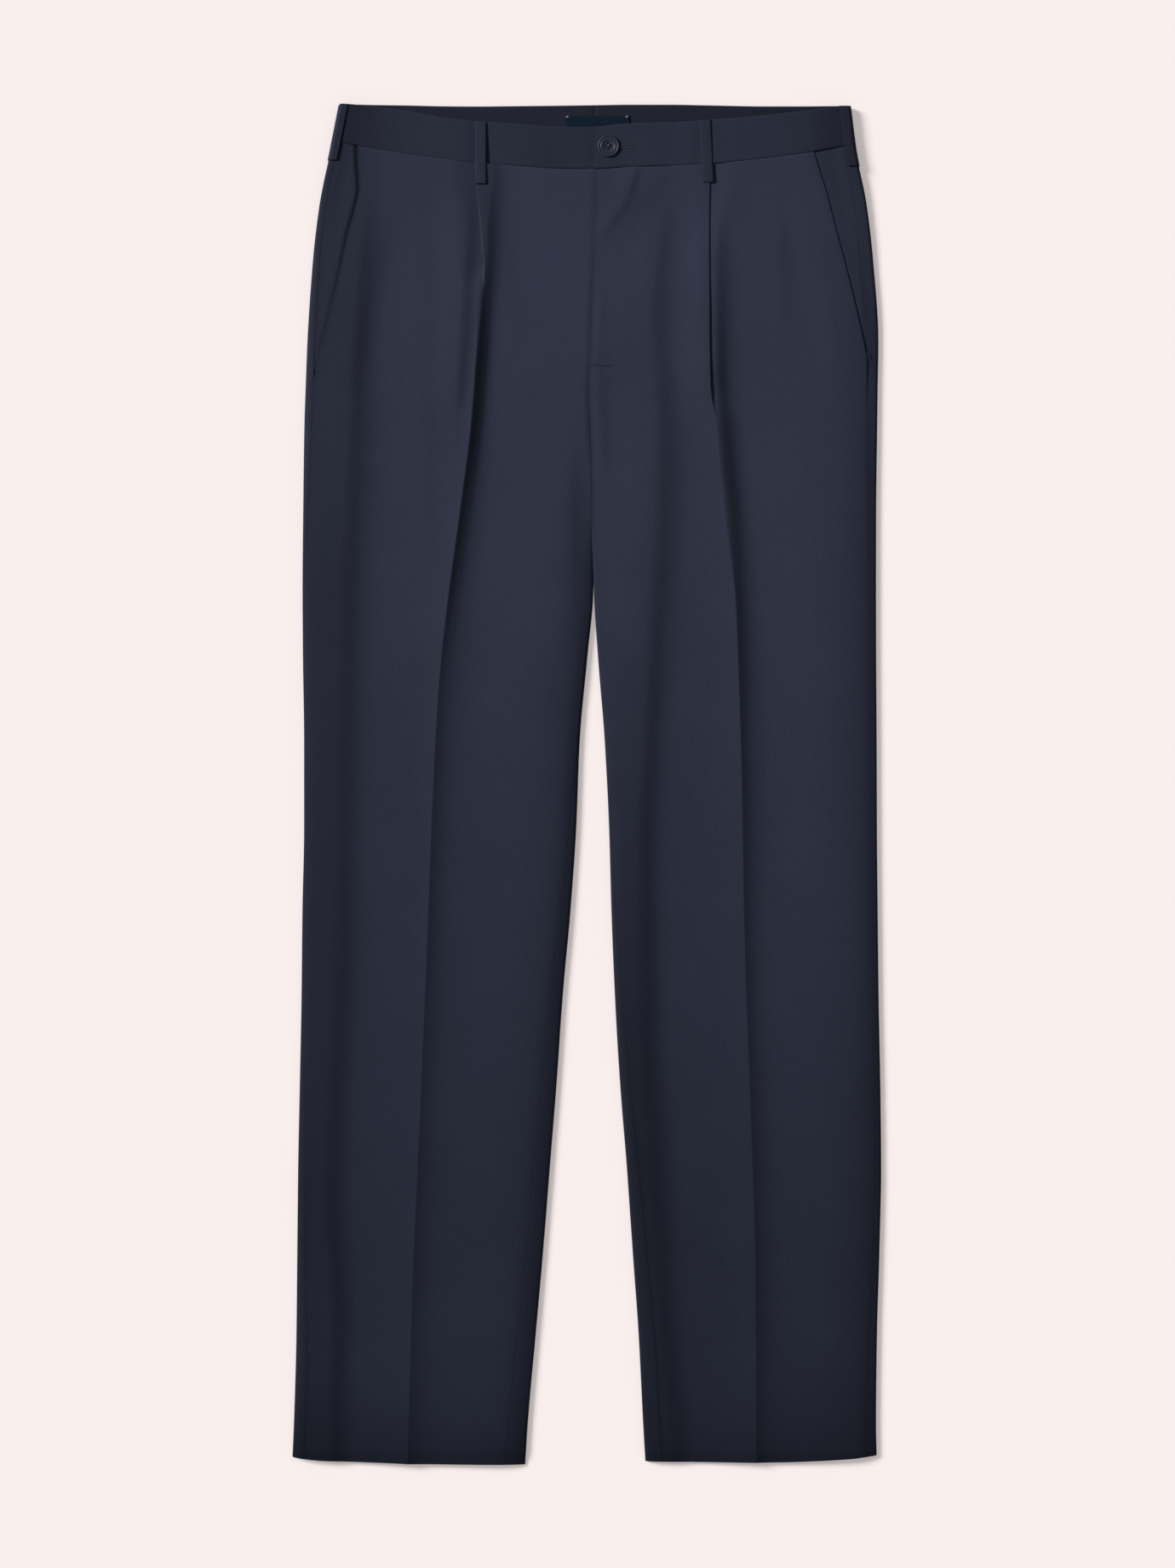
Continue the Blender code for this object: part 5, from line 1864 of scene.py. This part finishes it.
@dataclass
class Button:
    """The waist button, turned with a raised rim, four thread holes and its crossed threads."""

    finishes: Finishes
    x: float = 16.9
    drop: float = 33.8
    base: float = 6.3
    profile: Table = Table(
        "share radius height",
        (0, 0, 1.2), (1, 3.4, 1.18), (1.6, 4.4, 1.3), (2.1, 5.1, 1.68), (2.5, 5.7, 1.7),
        (3, 6.3, 1.42), (3.5, 6.8, 1.5), (4, 7.4, 1.88), (4.5, 8, 1.78), (5, 8.5, 1.05),
        (5.6, 8.1, 0.4), (6.2, 7.3, 0.1), (7, 6.4, 0), (8, 0, 0),
    )
    rings: int = 120
    spokes: int = 96
    rim_share: float = 4.0
    holes_turned: float = 0.1
    hole_place: float = 2.05
    hole_radius: float = 0.85
    hole_rim: Pair = (0.75, 1.15)
    hole_depth: float = 1.1
    thread_radius: float = 0.17
    thread_apart: float = 0.18
    thread_height: float = 1.25
    thread_arch: float = 0.3
    thread_dips: float = 0.9
    thread_level: float = 0.75
    thread_points: int = 13

    def wells(self, x: Array, y: Array) -> Array:
        """How far each place is down one of the four holes, a smooth step over the hole's rim.

        Args:
            x: X from the button's centre.
            y: Y from it.

        Returns:
            0 outside the holes and 1 in them.
        """
        turn = TURN * np.arange(4)[:, None, None] + self.holes_turned
        away = np.hypot(x - self.hole_place * np.cos(turn), y - self.hole_place * np.sin(turn)).min(axis=0)
        inner, outer = self.hole_rim
        return 1 - ease(self.hole_radius * inner, self.hole_radius * outer, away)

    def build(self) -> None:
        """Makes the button and its threads.

        The button is its profile turned round Z, with four wells in its upper face. A fan of
        triangles closes it to the pole at each end of the profile.
        """
        share = np.linspace(0, self.profile.places[-1], self.rings)[1:-1, None]
        angle = np.linspace(0, math.tau, self.spokes, endpoint=False)[None, :]
        radius = np.broadcast_to(self.profile.at("radius", share), (len(share), self.spokes))
        height = np.broadcast_to(self.profile.at("height", share), radius.shape)
        x, y = radius * np.cos(angle), radius * np.sin(angle)
        height = height - np.where(share < self.rim_share, self.hole_depth * self.wells(x, y), 0.0)
        centre = np.array([self.x, LENGTH / 2 - self.drop, self.base])
        ring = np.stack([x, y, height], axis=-1).reshape(-1, 3)
        poles = [[0, 0, pole] for pole in self.profile.columns["height"][[0, -1]]]
        index = np.arange(len(ring)).reshape(radius.shape)
        turned = np.roll(index, -1, axis=1)
        quads = np.stack([index[:-1], index[1:], turned[1:], turned[:-1]], axis=-1).reshape(-1, 4)
        fans = [fan(index[0], len(ring)), fan(index[-1], len(ring) + 1)[:, ::-1]]
        thing = mesh_object("waist_button", np.concatenate([ring, poles]) + centre, quads,
                            self.finishes.resin, np.concatenate(fans))
        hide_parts("button")
        self.threads(centre)

    def threads(self, centre: Array) -> None:
        """The threads that cross between the holes: arcs that dip into two opposite holes.

        Args:
            centre: the middle of the button's underside.
        """
        share = np.linspace(-1, 1, self.thread_points)[:, None]
        dip = np.maximum(np.abs(share) - self.thread_level, 0) / (1 - self.thread_level)
        rise = self.thread_height + self.thread_arch * (1 - share**2) - self.thread_dips * dip
        up = np.array([0, 0, 1.0])
        paths = []
        for turn in (self.holes_turned, TURN + self.holes_turned):
            along = np.array([math.cos(turn), math.sin(turn), 0.0])
            beside = np.array([-math.sin(turn), math.cos(turn), 0.0])
            for apart in (-self.thread_apart, self.thread_apart):
                paths.append(centre + along * self.hole_place * share + beside * apart + up * rise)
        points, quads = tubes(np.array(paths), self.thread_radius)
        mesh_object("button_thread", points, quads, self.finishes.navy_thread)


def fan(ring: Array, pole: int) -> Array:
    """Triangles that close a ring of points to a pole."""
    return np.stack([ring, np.roll(ring, -1), np.full(len(ring), pole)], axis=-1)


@dataclass
class Label:
    """The bare label inside the back waistband, caught down by a few stitches at its corners."""

    finishes: Finishes
    x: Pair = (-16.8, 33.3)
    drops: Pair = (9.6, 31.0)
    underside: float = 2.75
    thickness: float = 0.6
    caught: float = 0.8
    bar: float = 2.4
    rows: Pair = (0.6, 1.2)
    thread: float = 0.16
    stands: float = 0.12
    grid: tuple[int, int] = (14, 40)

    def build(self) -> None:
        """Makes the tape, whose middle stands up a little by half a sine, and its corner stitches."""
        drop = np.linspace(*self.drops, self.grid[0])[:, None]
        out = np.linspace(*self.x, self.grid[1])[None, :]
        share = (out - self.x[0]) / (self.x[1] - self.x[0])
        height = self.underside + self.thickness / 2 + self.stands * np.sin(math.pi * share)
        shell = Shell.of("label_tape", Side.LEFT, (drop, out, height, TURN), self.thickness)
        thing = shell.build("label", "label", self.finishes.tape)
        above = self.underside + self.thickness
        starts = (self.x[0] + self.caught, self.x[1] - self.caught - self.bar)
        drops = [self.drops[0] + row for row in self.rows]
        bars = [(x, drop, x + self.bar, drop) for x in starts for drop in drops]
        stitches("label_stitches", np.array(bars), above, self.thread, self.finishes.white_thread)


def stitches(name: str, bars: Array, height: Number, radius: float, material: Material,
             arch: float = 2.2, sunk: float = 0.6, steps: int = 9) -> None:
    """Short stitches, each a low arch of thread, half a sine.

    Args:
        name: the object's name.
        bars: a row for each stitch, with the X and drop of its two ends.
        height: the height of the cloth at each stitch.
        radius: the thread's radius.
        material: the thread.
        arch: the arch's height in radii.
        sunk: how many radii its ends are sunk.
        steps: points along each stitch.
    """
    share = np.linspace(0, 1, steps)[None, :, None]
    start = np.stack([bars[:, 0], LENGTH / 2 - bars[:, 1]], axis=-1)[:, None]
    end = np.stack([bars[:, 2], LENGTH / 2 - bars[:, 3]], axis=-1)[:, None]
    flat = start + (end - start) * share
    rise = np.broadcast_to(height, (len(bars),))[:, None, None]
    rise = rise + radius * (arch * np.sin(math.pi * share) - sunk)
    points, quads = tubes(np.concatenate([flat, rise], axis=-1), radius)
    mesh_object(name, points, quads, material)


@dataclass
class Sewing:
    """The buttonhole and the bar tacks, short stitches on the front face."""

    lie: Lie
    band: Waistband
    finishes: Finishes
    thread: float = 0.13
    pitch: float = 0.42
    hole_x: Pair = (21.8, 34.6)
    hole_drop: float = 33.9
    hole_half: float = 1.25
    bite: float = 0.95
    eye_stitches: int = 9
    tack_pitch: float = 0.34
    tack_half: float = 0.9
    tack_thread: float = 0.09
    tacks: tuple[tuple[str, Side, Pair, Pair], ...] = (
        ("fly_tack", Side.LEFT, (1.2, 202.6), (19.5, 203.2)),
        ("pocket_tack_right", Side.RIGHT, (-212.4, 205.8), (-211.6, 210.6)),
        ("pocket_tack_left", Side.LEFT, (217.0, 193.5), (218.4, 198.0)),
        ("fly_top_tack", Side.LEFT, (6.9, 50.9), (6.9, 47.6)),
    )

    def buttonhole(self) -> None:
        """Two rows of stitches square to the slit, joined by a fan of them round its far end."""
        x = np.arange(*self.hole_x, self.pitch)
        rows = []
        for way in (-1.0, 1.0):
            near = np.full(x.shape, self.hole_drop + way * (self.hole_half - self.bite / 2))
            rows.append(np.stack([x, near, x, near + way * self.bite], axis=-1))
        angle = np.linspace(-TURN, TURN, self.eye_stitches)
        inner, outer = self.hole_half - self.bite / 2, self.hole_half + self.bite / 2
        eye = [self.hole_x[1] + inner * np.cos(angle), self.hole_drop + inner * np.sin(angle),
               self.hole_x[1] + outer * np.cos(angle), self.hole_drop + outer * np.sin(angle)]
        bars = np.concatenate([*rows, np.stack(eye, axis=-1)])
        stitches("buttonhole_stitches", bars, self.band.face(Side.LEFT, bars), self.thread,
                 self.finishes.navy_thread)

    def tack(self, name: str, side: Side, start: Pair, stop: Pair) -> None:
        """A bar tack on a front.

        Args:
            name: the object's name.
            side: the side of the front.
            start: X and drop of one end of the bar's middle line.
            stop: X and drop of its other end.
        """
        line = np.array(stop) - np.array(start)
        length = np.linalg.norm(line)
        square = np.array([-line[1], line[0]]) / length * self.tack_half
        share = np.linspace(0, 1, max(2, round(length / self.tack_pitch)))[:, None]
        middle = np.array(start) + line * share
        bars = np.concatenate([middle - square, middle + square], axis=1)
        out = side.outward * middle[:, 0]
        height = self.lie.front_top(middle[:, 1]) + self.lie.front_lies(side, out, middle[:, 1])
        stitches(name, bars, height - self.tack_thread, self.tack_thread, self.finishes.dark_thread)

    def build(self) -> None:
        """Sews everything."""
        self.buttonhole()
        for tack in self.tacks:
            self.tack(*tack)


@dataclass(frozen=True)
class Studio:
    """A pale floor, a soft key light from the upper left, an even fill, and the camera overhead.

    The key is a wide spot that is aimed at the thighs and weakens towards the hems. Two suns, one
    from the same side and one from above, light the floor in its place, so that the floor stays even
    and the shadow on it light.
    """

    floor_colour: Colour = (0.885, 0.805, 0.790)
    floor_darkest: float = 0.995
    floor_roughness: float = 0.9
    floor_grain: float = 900.0
    floor_detail: float = 2.0
    floor_reach: float = 30.0
    frame_height: float = 1841 * 0.66 * MM
    lens: float = 85.0
    sensor: float = 36.0
    key_from: tuple[float, float, float] = (-0.81, 0.38, 0.44)
    aim: tuple[float, float, float] = (-0.02, 0.30, 0.0)
    distance: float = 5.0
    lamp_radius: float = 0.55
    spot_angle: float = 26.0
    spot_power: float = 1850.0
    sun_strength: float = 3.45
    sun_angle: float = 18.0
    top_strength: float = 1.12
    looks_at: float = 0.66 * MM
    clips_at: float = 50.0
    fill: float = 0.235

    def build(self) -> None:
        """Makes the floor, the lights and the camera."""
        floor = self.floor()
        self.lights(floor)
        self.camera()

    def floor(self) -> Thing:
        """A level floor under everything, with a very faint grain.

        Returns:
            The floor.
        """
        mesh = bpy.data.meshes.new("floor")
        reach = self.floor_reach
        corners = [(-reach, -reach, 0), (reach, -reach, 0), (reach, reach, 0), (-reach, reach, 0)]
        mesh.from_pydata(corners, [], [(0, 1, 2, 3)])
        material, nodes, shader = principled("floor_paper", self.floor_roughness, 0.0)
        place = nodes.add("ShaderNodeTexCoord")
        grain = nodes.noise(place.outputs["Object"], self.floor_grain, self.floor_detail)
        darker = tuple(part * self.floor_darkest for part in self.floor_colour)
        nodes.feed(shader.inputs["Base Color"], nodes.mix(grain, darker, self.floor_colour))
        mesh.materials.append(material)
        thing = in_scene("floor", mesh)
        return thing

    def lamp(self, light: bpy.types.Light, side: Vector, floor: Thing, lights_floor: bool) -> None:
        """Hangs a lamp that lights the floor alone or everything else.

        Args:
            light: the lamp.
            side: the direction towards it from the place that it is aimed at.
            floor: the floor.
            lights_floor: whether it lights the floor alone.
        """
        thing = in_scene(light.name, light)
        thing.location = Vector(self.aim) + side.normalized() * self.distance
        thing.rotation_euler = side.to_track_quat("Z", "Y").to_euler()
        lit = bpy.data.collections.new(f"{light.name}_receivers")
        lit.objects.link(floor)
        lit.collection_objects[0].light_linking.link_state = "INCLUDE" if lights_floor else "EXCLUDE"
        thing.light_linking.receiver_collection = lit

    def lights(self, floor: Thing) -> None:
        """The key, the floor's own suns from the key's side and from above, and an even world.

        Args:
            floor: the floor.
        """
        key = bpy.data.lights.new("key", "SPOT")
        key.energy = self.spot_power
        key.shadow_soft_size = self.lamp_radius
        key.spot_size = math.radians(self.spot_angle)
        key.spot_blend = 1.0
        self.lamp(key, Vector(self.key_from), floor, lights_floor=False)
        above = Vector((0.0, 0.0, 1.0))
        for name, strength, side in (("floor_sun", self.sun_strength, Vector(self.key_from)),
                                     ("floor_top", self.top_strength, above)):
            sun = bpy.data.lights.new(name, "SUN")
            sun.energy = strength
            sun.angle = math.radians(self.sun_angle)
            self.lamp(sun, side, floor, lights_floor=True)
        world = bpy.data.worlds.new("studio")
        world.use_nodes = True
        background = world.node_tree.nodes["Background"]
        background.inputs["Color"].default_value = (1.0, 1.0, 1.0, 1.0)
        background.inputs["Strength"].default_value = self.fill
        bpy.context.scene.world = world
        bpy.context.scene.view_settings.view_transform = "Standard"

    def camera(self) -> None:
        """Straight overhead, with the waist at the top of the frame."""
        data = bpy.data.cameras.new("camera")
        data.lens, data.sensor_width = self.lens, self.sensor
        data.clip_end = self.clips_at
        thing = in_scene("camera", data)
        thing.location = (self.looks_at, 0.0, self.frame_height / 2 / (self.sensor / 2 / self.lens))
        bpy.context.scene.camera = thing


def main() -> None:
    """Builds the studio and every piece of the trousers, in order."""
    logging.basicConfig(level=logging.INFO, format="%(name)s: %(message)s")
    Studio().build()
    finishes = Finishes()
    lie = Lie()
    bands = {side: Waistband(lie, side, finishes) for side in Side}
    for side in Side:
        Leg(lie, side, finishes).build()
        bands[side].build()
    BeltLoops(lie, bands[Side.RIGHT], finishes).build()
    Button(finishes).build()
    Label(finishes).build()
    Sewing(lie, bands[Side.LEFT], finishes).build()


if __name__ == "__main__":
    main()
